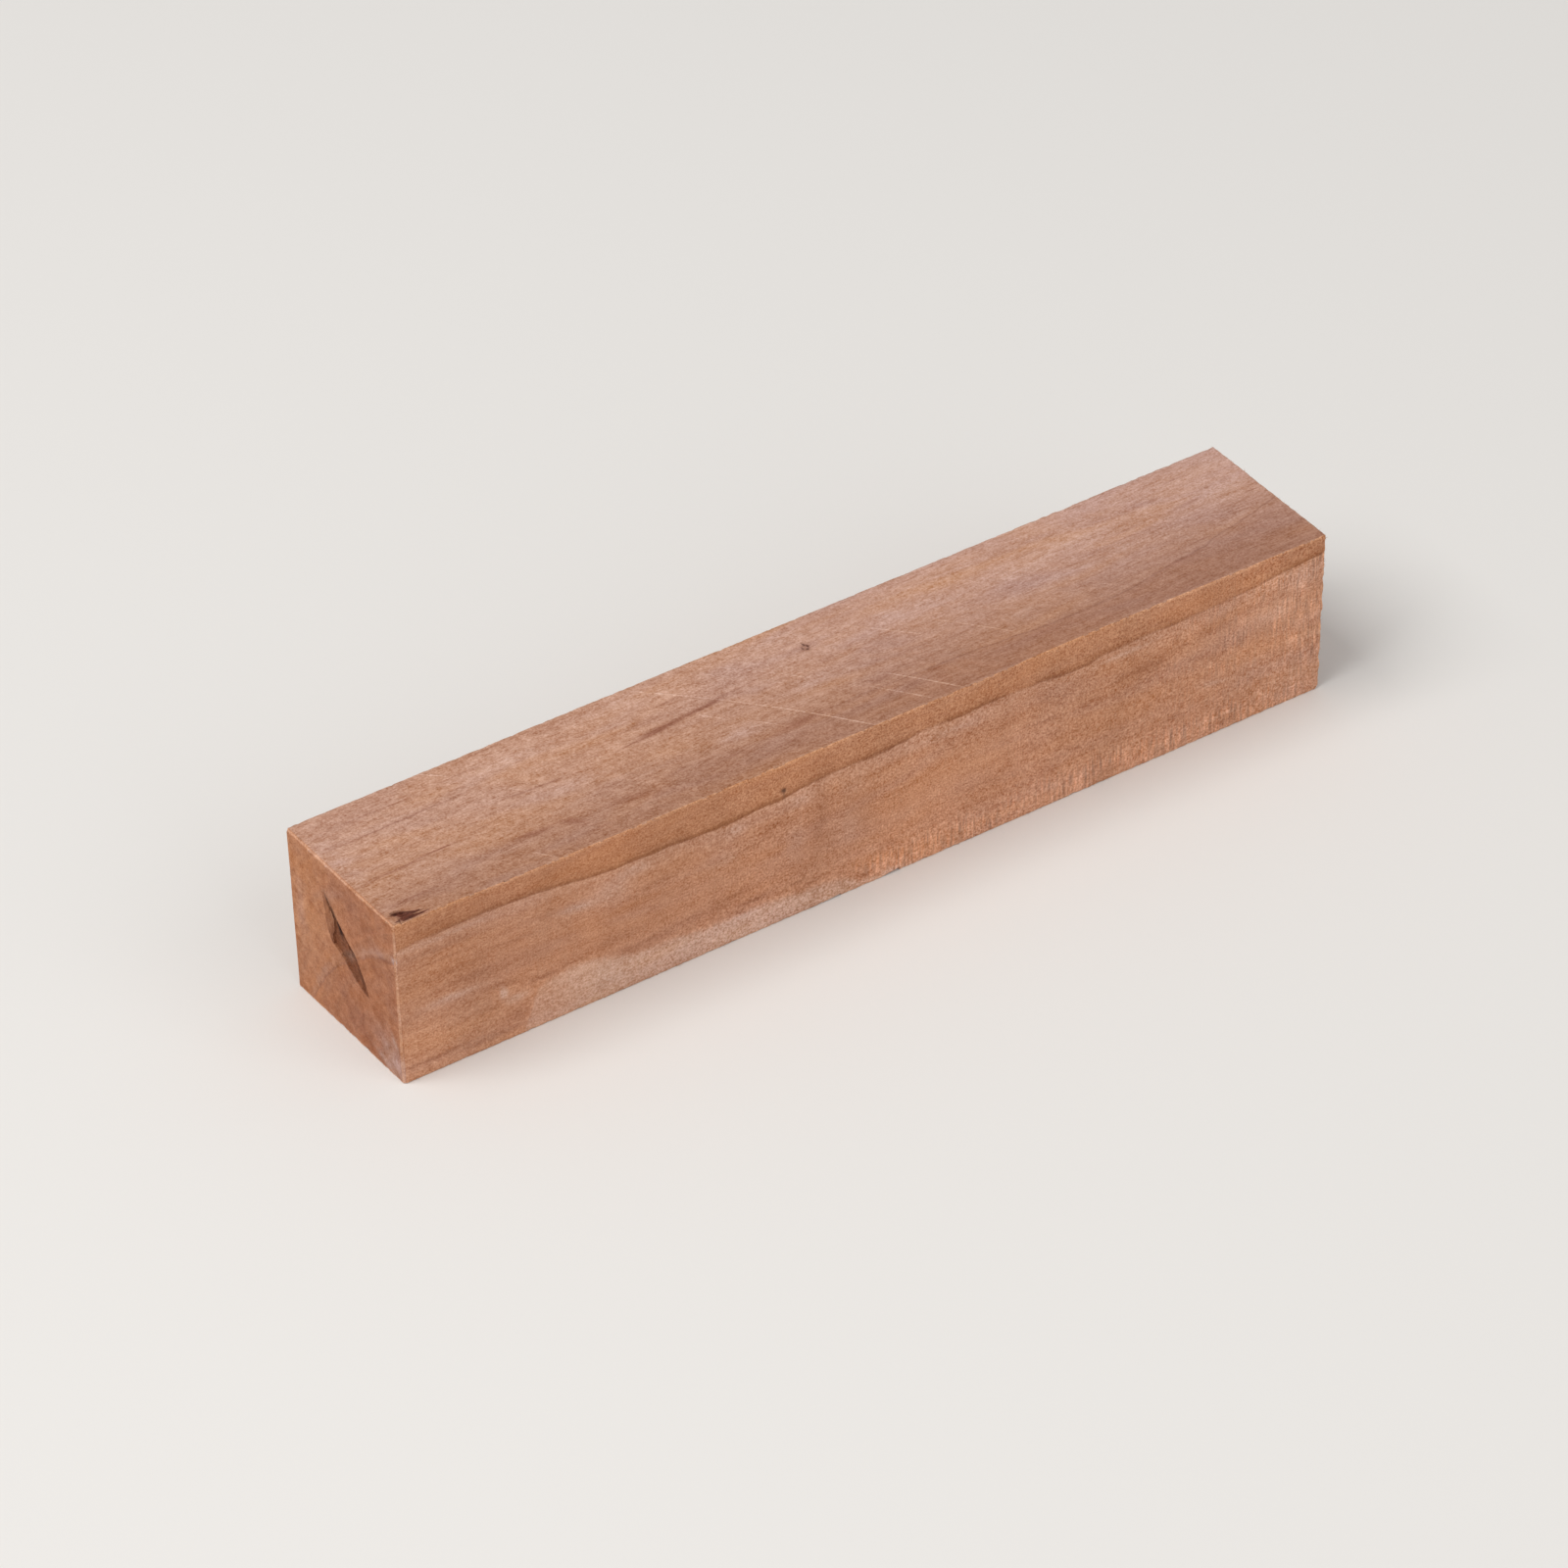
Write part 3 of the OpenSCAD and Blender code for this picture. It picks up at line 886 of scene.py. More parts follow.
    layers = (
        (add(tree, MAP_RANGE, (x, -30.0, 45.0), interpolation_type="SMOOTHSTEP"), 0.6, "#C1988A"),
        (dusky, 0.95, "#A4745A"),
        (beyond, 0.3, "#9A6C5C"),
        (ring_line, 0.7, "#8F6250"),
        (pale, 0.5, "#CFAB9E"),
        (dark, 0.85, "#8D5741"),
        (scratch, 0.7, "#DDB39D"),
        # Lighter along the arris: a painted highlight where the edge catches the light, with some
        # real wear of its fibres
        (add(tree, "ShaderNodeAttribute", attribute_name="arris").outputs["Fac"], 0.18, "#D8AD90"),
        (knot, 0.9, "#5E382B"),
        # Dark bark in the torn corner with the back wall's painted shadow, and darker shreds in it
        (torn, 0.95, "#643122"),
        (shreds, 0.7, "#401F15"),
    )
    tone = toned(tree, finish.top_wood, layers)
    lit, height = figured(
        tree,
        groups,
        place,
        tone,
        swept,
        Blotch=0.22,
        Band=0.42,
        Mottle=add(
            tree, MAP_RANGE, (parts["X"], -4.0, 10.0, 0.75, 0.35), interpolation_type="SMOOTHSTEP"
        ),
        Fibre=0.7,
        Fleck=0.6,
        Speck=add(
            tree, MAP_RANGE, (parts["X"], -4.0, 10.0, 1.25, 1.0), interpolation_type="SMOOTHSTEP"
        ),
        Tint=0.8,
    )
    height = add(tree, MATH, (scratch, 0.5, height), operation="MULTIPLY_ADD")
    finished(tree, shader, lit, height, 0.72, 0.05 * MM)
    return material


def side_material(
    finish, groups, name, axis, ring_points, depths, sapwood_edge, dark_rows, pale_rows
):
    """Pear, rip-sawn: warm orange brown, fuzzy, with upright marks from the teeth."""
    material, tree, shader, place, parts = start_material(name)
    x = warped(tree, place, parts["X"], 0.9, (0.6, 0.6, 0.6))
    soft = warped(tree, place, parts[axis], 0.6, (0.3, 0.8, 0.8))
    ragged = warped(tree, place, soft, 0.9, (2.6, 0.7, 0.7))

    ring = curve_through(tree, parts["X"], ring_points, ALONG, (0.0, 21.0))
    depth = curve_through(tree, x, depths, ALONG, (0.0, 1.0))
    off = add(tree, MATH, (soft, ring), operation="SUBTRACT")
    # Dense latewood starts at a sharp lower edge and fades upwards over 3 mm
    fade = add(tree, "ShaderNodeValToRGB", (add(tree, MAP_RANGE, (off, -1.0, 4.0)),))
    ramp = fade.color_ramp
    ramp.elements[0].position = 0.16
    ramp.elements[0].color = (0, 0, 0, 1)
    ramp.elements[1].position = 0.2
    ramp.elements[1].color = (1, 1, 1, 1)
    for position, level in ((0.245, 0.85), (0.3, 0.4), (0.42, 0.15), (0.85, 0.0)):
        ramp.elements.new(position).color = (level, level, level, 1)
    late = add(tree, MATH, (fade, depth), operation="MULTIPLY")
    golden = add(tree, MAP_RANGE, (off, -0.15, 0.3), interpolation_type="SMOOTHSTEP")
    below = add(
        tree,
        MATH,
        (
            add(tree, MAP_RANGE, (off, -2.6, -0.3), interpolation_type="SMOOTHSTEP"),
            add(tree, MATH, (1.0, golden), operation="SUBTRACT"),
        ),
        operation="MULTIPLY",
    )

    edge = curve_through(tree, x, sapwood_edge, ALONG, (-3.0, 21.0))
    under = add(tree, MATH, (edge, ragged), operation="SUBTRACT")
    sapwood = add(tree, MAP_RANGE, (under, -0.5, 0.6), interpolation_type="SMOOTHSTEP")
    # It is only half as pale over its first 9 mm
    sapped = add(tree, MAP_RANGE, (x, -43.0, -34.5, 0.5, 0.9), interpolation_type="SMOOTHSTEP")

    dark = marks(tree, dark_rows, x, ragged, groups["mark"])
    pale = marks(tree, pale_rows, x, soft, groups["mark"])
    knot = marks(tree, SIDE_KNOT, x, soft, groups["mark"])

    # Fine upright marks of the teeth, a third of a millimetre apart and 3 mm tall, in
    # patches along the foot and near the far end
    teeth = noise(tree, place, (2.9, 0.3, 0.3), 2.0, 0.6)
    low = add(tree, MAP_RANGE, (parts[axis], 5.0, 2.4), interpolation_type="SMOOTHSTEP")
    foot = add(
        tree,
        MATH,
        (low, add(tree, MAP_RANGE, (parts["X"], -8.0, 2.0), interpolation_type="SMOOTHSTEP")),
        operation="MULTIPLY",
    )
    far = add(tree, MAP_RANGE, (parts["X"], 34.0, 54.0, 0.1), interpolation_type="SMOOTHSTEP")
    patches = add(
        tree,
        MAP_RANGE,
        (noise(tree, place, (0.2, 0.25, 0.25), 1.0), 0.38, 0.58, 0.35),
        interpolation_type="SMOOTHSTEP",
    )
    tooth = add(
        tree,
        MATH,
        (add(tree, MATH, (foot, far), operation="MAXIMUM"), patches),
        operation="MULTIPLY",
    )
    plain = add(tree, MATH, (golden, -0.7, 1.0), operation="MULTIPLY_ADD")
    tooth = add(tree, MATH, (tooth, plain), operation="MULTIPLY")
    combed = add(
        tree,
        MATH,
        (add(tree, MATH, (teeth, 0.46), operation="SUBTRACT"), tooth),
        operation="MULTIPLY",
    )
    # A soft cross figure, 7 mm apart, like the ripple in a curly board
    curl = noise(tree, place, (0.16, 0.04, 0.05), 1.0)
    curled = add(tree, MATH, (curl, 0.3, 0.85), operation="MULTIPLY_ADD")
    brighter = add(
        tree, MAP_RANGE, (parts["X"], -28.0, 5.0, 1.0, 1.05), interpolation_type="SMOOTHSTEP"
    )
    curled = add(tree, MATH, (curled, brighter), operation="MULTIPLY")
    curled = add(tree, MATH, (combed, 1.9, curled), operation="MULTIPLY_ADD")

    layers = (
        # Painted light: lighter where the across coordinate is under 7 mm, which on the upright
        # sides is their foot, making up for light that falls off near the floor
        (add(tree, MAP_RANGE, (soft, 7.0, 1.0), interpolation_type="SMOOTHSTEP"), 0.8, "#C89070"),
        (golden, 0.85, finish.golden_wood),
        (below, 0.25, "#CFA28C"),
        (sapwood, sapped, finish.sapwood),
        (pale, 0.55, "#CFAC9C"),
        (dark, 0.75, "#935A3B"),
        (late, 0.9, finish.latewood),
        (tooth, 0.15, "#CFA592"),
        # Lighter along the arrises: a painted highlight where the edge catches the light, with
        # some real wear of its fibres
        (add(tree, "ShaderNodeAttribute", attribute_name="arris").outputs["Fac"], 0.35, "#DBA57C"),
        (knot, 0.9, "#5A3826"),
    )
    tone = toned(tree, finish.side_wood, layers)
    lit, height = figured(
        tree,
        groups,
        place,
        tone,
        curled,
        Blotch=0.35,
        Band=0.4,
        Mottle=0.38,
        Fibre=0.35,
        Fleck=0.5,
        Speck=add(
            tree, MAP_RANGE, (parts["X"], -34.0, -14.0, 1.4, 1.95), interpolation_type="SMOOTHSTEP"
        ),
        Tint=0.6,
    )
    height = add(tree, MATH, (combed, 1.8, height), operation="MULTIPLY_ADD")
    finished(tree, shader, lit, height, 0.82, 0.06 * MM)
    return material


def end_material(
    finish, groups, name, ring_points, dark_rows, pale_rows, upper, lower, crack_shade_rows
):
    """Pear end grain, crosscut and sanded: darker, dotted with pores, ringed in grey."""
    material, tree, shader, place, parts = start_material(name)
    y = warped(tree, place, parts["Y"], 0.7, (0.6, 0.6, 0.6))
    z = warped(tree, place, parts["Z"], 0.7, (0.6, 0.7, 0.7))

    ring = curve_through(tree, y, ring_points, (-10.5, 10.5), (-8.0, 20.0))
    off = add(tree, MATH, (z, ring), operation="SUBTRACT")
    line = line_at(tree, add(tree, MATH, (off, 0.25), operation="ADD"), 0.4)
    band = line_at(tree, add(tree, MATH, (off, 0.6), operation="SUBTRACT"), 1.3)

    # Rings about a centre outside the section, too faint to show one by one
    across = add(
        tree,
        VECTOR_MATH,
        (add(tree, VECTOR_MATH, (place, (0.0, *PITH)), operation="SUBTRACT"), (0.0, 1.0, 1.0)),
        operation="MULTIPLY",
    )
    radius = add(tree, VECTOR_MATH, (across,), operation="LENGTH")
    rings = add(
        tree,
        "ShaderNodeTexNoise",
        {"W": radius.outputs["Value"], "Scale": 0.9, "Detail": 3.0, "Roughness": 0.6},
        noise_dimensions="1D",
    )
    ringed = add(tree, MATH, (rings, 0.26, 0.87), operation="MULTIPLY_ADD")
    pores = add(tree, "ShaderNodeTexVoronoi", {"Vector": place, "Scale": 2.4})
    pore = add(
        tree, MAP_RANGE, (pores.outputs["Distance"], 0.3, 0.08), interpolation_type="SMOOTHSTEP"
    )

    dark = marks(tree, dark_rows, y, z, groups["mark"])
    pale = marks(tree, pale_rows, y, z, groups["mark"])
    redder = add(tree, MAP_RANGE, (y, 8.0, -2.0), interpolation_type="SMOOTHSTEP")

    # Bark in the hollow: crumbly and reddish brown, with painted shade, nearly black, where the
    # hollow is deep. Its stain reaches past the hollow's edges
    crumbs = noise(tree, place, (1.6, 1.6, 1.6), 4.0, 0.7)
    clods = add(tree, MAP_RANGE, (crumbs, 0.38, 0.62), interpolation_type="SMOOTHSTEP")
    sunk = add(tree, "ShaderNodeAttribute", attribute_name="sunk").outputs["Fac"]
    near_y = warped(tree, place, parts["Y"], 0.5, (1.4, 1.4, 1.4))
    near_z = warped(tree, place, parts["Z"], 0.4, (1.5, 1.5, 1.5))
    reach = (upper[0][0], upper[-1][0])
    above = curve_through(tree, near_y, upper, reach, (7.0, 18.0))
    below = curve_through(tree, near_y, lower, reach, (7.0, 18.0))
    inside = add(tree, MATH, (above, near_z), operation="SUBTRACT")
    under = add(tree, MAP_RANGE, (inside, 0.0, 0.35), interpolation_type="SMOOTHSTEP")
    over = add(
        tree,
        MAP_RANGE,
        (add(tree, MATH, (near_z, below), operation="SUBTRACT"), 0.0, 0.5),
        interpolation_type="SMOOTHSTEP",
    )
    # Only a haze is left of the stain beside the crack's upper part
    haze = add(
        tree,
        MAP_RANGE,
        (add(tree, MATH, (near_y, 1.4, near_z), operation="MULTIPLY_ADD"), 18.0, 14.5, 0.5),
        interpolation_type="SMOOTHSTEP",
    )
    stain = add(
        tree,
        MATH,
        (add(tree, MATH, (under, over), operation="MULTIPLY"), haze),
        operation="MULTIPLY",
    )
    bark = add(
        tree,
        MATH,
        (stain, add(tree, MATH, (sunk, 0.3), operation="MULTIPLY")),
        operation="MAXIMUM",
    )
    crumbled = add(tree, MATH, (clods, bark), operation="MULTIPLY")
    crack_shade = marks(tree, crack_shade_rows, near_y, near_z, groups["mark"])
    # Painted shadow: the bark is darkest in a seam just under the hollow's upper edge, beside
    # the crack, where the upper wall's shadow falls
    seam = add(
        tree,
        MATH,
        (
            add(tree, MAP_RANGE, (inside, 0.05, 0.4), interpolation_type="SMOOTHSTEP"),
            add(tree, MAP_RANGE, (inside, 1.45, 0.8), interpolation_type="SMOOTHSTEP"),
        ),
        operation="MULTIPLY",
    )
    seam_length = add(
        tree,
        MATH,
        (
            add(tree, MAP_RANGE, (near_y, -0.2, 0.7), interpolation_type="SMOOTHSTEP"),
            add(tree, MAP_RANGE, (near_y, 3.2, 2.2), interpolation_type="SMOOTHSTEP"),
        ),
        operation="MULTIPLY",
    )
    seam = add(
        tree,
        MATH,
        (add(tree, MATH, (seam, seam_length), operation="MULTIPLY"), bark),
        operation="MULTIPLY",
    )

    layers = (
        (redder, 0.85, "#A86D4E"),
        (add(tree, MAP_RANGE, (z, 10.0, 1.0), interpolation_type="SMOOTHSTEP"), 0.35, "#9C6347"),
        (band, 0.24, "#B58F7C"),
        (line, 0.38, "#85594A"),
        # Pale marks; on the near end one of them is a painted highlight on a chip in the arris
        (pale, 0.65, "#BFA097"),
        (dark, 0.6, "#8A4F36"),
        (pore, 0.3, "#84502F"),
        # Lighter along the arrises: a painted highlight on their sanded bevels, with some real
        # wear
        (add(tree, "ShaderNodeAttribute", attribute_name="arris").outputs["Fac"], 0.8, "#E6B597"),
        (bark, 0.9, finish.bark),
        (crumbled, 0.4, "#5A2F1A"),
        (add(tree, MATH, (band, bark), operation="MULTIPLY"), 0.25, "#8A7468"),
        # Painted shadow under the hollow's upper wall
        (seam, 0.85, "#451B0F"),
        # Painted shade, nearly black, in the crack
        (crack_shade, 0.9, "#341A12"),
        # Painted shade, nearly black, where the hollow is deep
        (add(tree, "ShaderNodeAttribute", attribute_name="deep").outputs["Fac"], 1.0, "#1C0D08"),
    )
    tone = toned(tree, finish.end_wood, layers)
    lit, height = figured(
        tree,
        groups,
        place,
        tone,
        ringed,
        Blotch=0.5,
        Band=0.3,
        Mottle=1.0,
        Speck=1.0,
        Fleck=0.4,
        Tint=0.8,
    )
    height = add(tree, MATH, (pore, -0.5, height), operation="MULTIPLY_ADD")
    height = add(tree, MATH, (crumbled, 1.0, height), operation="MULTIPLY_ADD")
    finished(tree, shader, lit, height, 0.76, 0.06 * MM)
    return material


def fibre_material(finish):
    """Loose fibres torn up by the saw: paler than the wood, since light passes them."""
    material, tree, shader, place, parts = start_material("torn_fibre")
    layers = (
        (noise(tree, place, (1.2, 1.2, 1.2), 1.0), 0.9, "#DDBBA5"),
    )
    tone = toned(tree, finish.side_wood, layers)
    tree.links.new(tone, shader.inputs["Base Color"])
    shader.inputs["Roughness"].default_value = 0.8
    shader.inputs["Specular IOR Level"].default_value = 0.2
    return material


def largest_face(bm, sign):
    """The middle and normal of the largest face that looks along X."""
    facing = [f for f in bm.faces if f.normal.x * sign > 0.9]
    face = max(facing, key=lambda f: f.calc_area())
    return face.calc_center_median().copy(), face.normal.copy()


def cut_grid(bm, faces_of, axis, low, high, step):
    """Cuts faces by planes across an axis, from low to high, a step apart."""
    count = max(1, round((high - low) / step))
    for i in range(1, count):
        place = Vector()
        place[axis] = low + (high - low) * i / count
        across = Vector()
        across[axis] = 1.0
        faces = faces_of(place[axis])
        edges = {e for f in faces for e in f.edges}
        verts = {v for e in edges for v in e.verts}
        bmesh.ops.bisect_plane(
            bm,
            geom=[*verts, *edges, *faces],
            plane_co=place,
            plane_no=across,
            dist=1e-8,
        )


def fine_mesh(source, along, across):
    """The solid's own surface as a fine grid, and the planes of its two ends."""
    bm = bmesh.new()
    bm.from_mesh(source.data)
    bmesh.ops.remove_doubles(bm, verts=bm.verts, dist=1e-6)
    bmesh.ops.dissolve_limit(
        bm, angle_limit=math.radians(0.05), verts=bm.verts, edges=bm.edges
    )
    ends = [largest_face(bm, sign) for sign in (-1, 1)]
    near_place, near_normal = ends[0]

    def ahead(value):
        return [f for f in bm.faces if max(v.co.x for v in f.verts) > value]

    def every(value):
        return bm.faces[:]

    def at_end(value):
        return [
            f
            for f in bm.faces
            if abs(f.normal.x) > 0.5
            and (f.calc_center_median() - near_place).dot(near_normal) > -POCKET_REACH
        ]

    cut_grid(bm, ahead, 0, LOW.x, HIGH.x, along)
    cut_grid(bm, every, 1, LOW.y, HIGH.y, across)
    cut_grid(bm, every, 2, LOW.z, HIGH.z, across)
    # The near end is the one the eye reads, so its face and its pocket are cut finer
    cut_grid(bm, at_end, 1, LOW.y, HIGH.y, across / END_FINER)
    cut_grid(bm, at_end, 2, LOW.z, HIGH.z, across / END_FINER)
    bmesh.ops.remove_doubles(bm, verts=bm.verts, dist=1e-7)
    mesh = bpy.data.meshes.new("fine_blank")
    bm.to_mesh(mesh)
    bm.free()
    return mesh, ends


def smooth(value, low, high):
    """An array's smooth rise from 0 at low to 1 at high."""
    share = np.clip((value - low) / (high - low), 0, 1)
    return share * share * (3 - 2 * share)


def write_masks(mesh, ends):
    """Writes where the wood is sunk, deep, near an arris, jagged or fuzzy, from 0 to 1."""
    flat = np.zeros(len(mesh.vertices) * 3)
    mesh.vertices.foreach_get("co", flat)
    places = flat.reshape(-1, 3) * IN_MM
    x, y, z = places.T
    into = [
        -(places - np.array(place) * IN_MM) @ np.array(normal) for place, normal in ends
    ]
    # The front side leans outward as it wanders, from a straight foot to its top
    foot = np.median(y[(z < 0.3) & (y < ACROSS[0] + 0.5)])
    bins = ((x - x.min()) / LEAN_BIN).astype(int)
    crown = np.full(bins.max() + 1, foot)
    high = z > HEIGHT - 0.6
    np.minimum.at(crown, bins[high], y[high])
    at = x.min() + LEAN_BIN * (np.arange(len(crown)) + 0.5)
    front = y - (foot + (np.interp(x, at, crown) - foot) * z / HEIGHT)
    top = HEIGHT - z
    sides = np.sort(np.stack([front, ACROSS[1] - y, z, top, *into]), axis=0)
    near = x < ALONG[0] + 9
    inside = (sides[0] > 0.05) & (sides[1] > 0.3) & near
    masks = {
        "sunk": smooth(sides[0], 0.05, 0.17) * inside,
        # How deep the near end's hollow goes; its material paints this as shade
        "deep": smooth(into[0], 0.35, 0.9) * inside,
        # Near an arris: frayed in the relief, and painted lighter in the materials as a highlight
        # with some wear
        "arris": (1 - smooth(sides[1], 0.06, 0.3)) * (1 - inside),
        "jag": (1 - smooth(into[1], 0.1, 0.7)) * (1 - smooth(front, 0.1, 0.7)),
    }
    side = 1 - smooth(front, 0.0, 0.4)
    torn = side * smooth(x, -10, 50) * (1 - 0.8 * smooth(z, 4, 20))
    edge = masks["arris"] * np.maximum(side, 1 - smooth(into[1], 0.0, 0.4))
    calm = smooth(into[0], 0.2, 1.5)
    masks["fuzz"] = np.clip(0.25 * torn + 0.6 * edge, 0, 1) * calm
    for name, mask in masks.items():
        attribute = mesh.attributes.new(name, "FLOAT", "POINT")
        attribute.data.foreach_set("value", mask.astype(np.float32))


def start_tree(name, result, labels):
    """A Geometry Nodes tree with the blank and numbers as inputs, and its end node."""
    tree = bpy.data.node_groups.new(name, "GeometryNodeTree")
    tree.interface.new_socket("Blank", in_out="INPUT", socket_type="NodeSocketGeometry")
    for label in labels:
        tree.interface.new_socket(label, in_out="INPUT", socket_type="NodeSocketFloat")
    tree.interface.new_socket(result, in_out="OUTPUT", socket_type="NodeSocketGeometry")
    return tree, tree.nodes.new("NodeGroupInput").outputs, tree.nodes.new("NodeGroupOutput")


def kept_above_floor(tree, geometry):
    """Lifts whatever reaches below the floor back to it."""
    lifted = add(
        tree,
        VECTOR_MATH,
        (add(tree, "GeometryNodeInputPosition"), (-1.0, -1.0, 0.0)),
        operation="MAXIMUM",
    )
    return add(tree, "GeometryNodeSetPosition", {"Geometry": geometry, "Position": lifted})


def relief_tree(materials):
    """Moves a fine surface along its normals as the saws left it, and dresses it."""
    tree, put, end = start_tree(
        "sawn_relief", "Blank", ("Saw wave", "Saw pitch", "Fuzz", "Fray", "Crumbs")
    )
    place = add(tree, "GeometryNodeInputPosition")
    normal = add(tree, "GeometryNodeInputNormal")
    facing = add(
        tree, "ShaderNodeSeparateXYZ", (add(tree, VECTOR_MATH, (normal,), operation="ABSOLUTE"),)
    )

    def waves(cells_per_mm, detail, amount, total):
        """Adds centred noise times an amount to a total."""
        cells = tuple(c * IN_MM for c in cells_per_mm)
        return swung(tree, noise(tree, place, cells, detail), amount, total)

    # Fine roughness everywhere, and slow dips over a centimetre or two from drying
    height = waves((1.3, 1.3, 1.3), 3.0, put["Fuzz"], 0.0)
    height = waves((0.07, 0.07, 0.07), 1.0, DRYING_DIP, height)
    # Ridges of the saw across the sides, drawn out upright
    per_pitch = add(tree, MATH, (1.0, put["Saw pitch"]), operation="DIVIDE")
    upright = add(tree, VECTOR_MATH, (place, (1.0, 0.1, 0.12)), operation="MULTIPLY")
    ridges = add(
        tree, "ShaderNodeTexNoise", {"Vector": upright, "Scale": per_pitch, "Detail": 1.0}
    )
    ridge_height = add(tree, MATH, (put["Saw wave"], facing.outputs["Y"]), operation="MULTIPLY")
    height = swung(tree, ridges, ridge_height, height)
    # Frayed arrises only lose wood
    nibble = noise(tree, place, (0.9 * IN_MM,) * 3, 3.0, 0.7)
    nibbled = add(
        tree, MAP_RANGE, (nibble, 0.42, 0.75, 0.0, -1.0), interpolation_type="SMOOTHSTEP"
    )
    lost = add(tree, MATH, (nibbled, put["Fray"]), operation="MULTIPLY")
    height = add(
        tree,
        MATH,
        (
            lost,
            add(
                tree, "GeometryNodeInputNamedAttribute", ("arris",), data_type="FLOAT"
            ).outputs["Attribute"],
            height,
        ),
        operation="MULTIPLY_ADD",
    )
    # The far upright arris was torn by the crosscut
    jag = add(
        tree,
        MATH,
        (
            add(
                tree, "GeometryNodeInputNamedAttribute", ("jag",), data_type="FLOAT"
            ).outputs["Attribute"],
            TEAR_OUT,
        ),
        operation="MULTIPLY",
    )
    height = waves((0.2, 0.2, 0.75), 2.0, jag, height)
    # Crumbs of bark inside the hollows
    crumbs = add(
        tree,
        MATH,
        (
            add(
                tree, "GeometryNodeInputNamedAttribute", ("sunk",), data_type="FLOAT"
            ).outputs["Attribute"],
            put["Crumbs"],
        ),
        operation="MULTIPLY",
    )
    height = waves((1.6, 1.6, 1.6), 3.0, crumbs, height)

    offset = add(tree, VECTOR_MATH, {0: normal, "Scale": height}, operation="SCALE")
    moved = add(tree, "GeometryNodeSetPosition", {"Geometry": put["Blank"], "Offset": offset})
    whole = add(tree, "GeometryNodeRealizeInstances", {"Geometry": kept_above_floor(tree, moved)})

    looks = add(tree, "ShaderNodeSeparateXYZ", (add(tree, "GeometryNodeInputNormal"),)).outputs
    spot = add(tree, "ShaderNodeSeparateXYZ", (add(tree, "GeometryNodeInputPosition"),)).outputs
    hollow = add(
        tree,
        MATH,
        (
            add(
                tree, "GeometryNodeInputNamedAttribute", ("sunk",), data_type="FLOAT"
            ).outputs["Attribute"],
            0.01,
        ),
        operation="GREATER_THAN",
    )
    in_top = add(
        tree,
        MATH,
        (hollow, add(tree, MATH, (spot["Z"], HIGH.z - TORN_REACH), operation="GREATER_THAN")),
        operation="MULTIPLY",
    )
    in_end = add(
        tree,
        MATH,
        (hollow, add(tree, MATH, (spot["Z"], HIGH.z - TORN_REACH), operation="LESS_THAN")),
        operation="MULTIPLY",
    )
    dressed = add(
        tree, "GeometryNodeSetMaterial", {"Geometry": whole, "Material": materials["front"]}
    )
    for name, chosen in (
        ("back", add(tree, MATH, (looks["Y"], 0.6), operation="GREATER_THAN")),
        ("foot", add(tree, MATH, (looks["Z"], -0.75), operation="LESS_THAN")),
        ("top", add(tree, MATH, (looks["Z"], 0.75), operation="GREATER_THAN")),
        ("near", add(tree, MATH, (looks["X"], -0.6), operation="LESS_THAN")),
        ("far", add(tree, MATH, (looks["X"], 0.6), operation="GREATER_THAN")),
        ("near", in_end),
        ("top", in_top),
    ):
        dressed = add(
            tree,
            "GeometryNodeSetMaterial",
            {"Geometry": dressed, "Selection": chosen, "Material": materials[name]},
        )
    tree.links.new(dressed.outputs[0], end.inputs[0])
    return tree


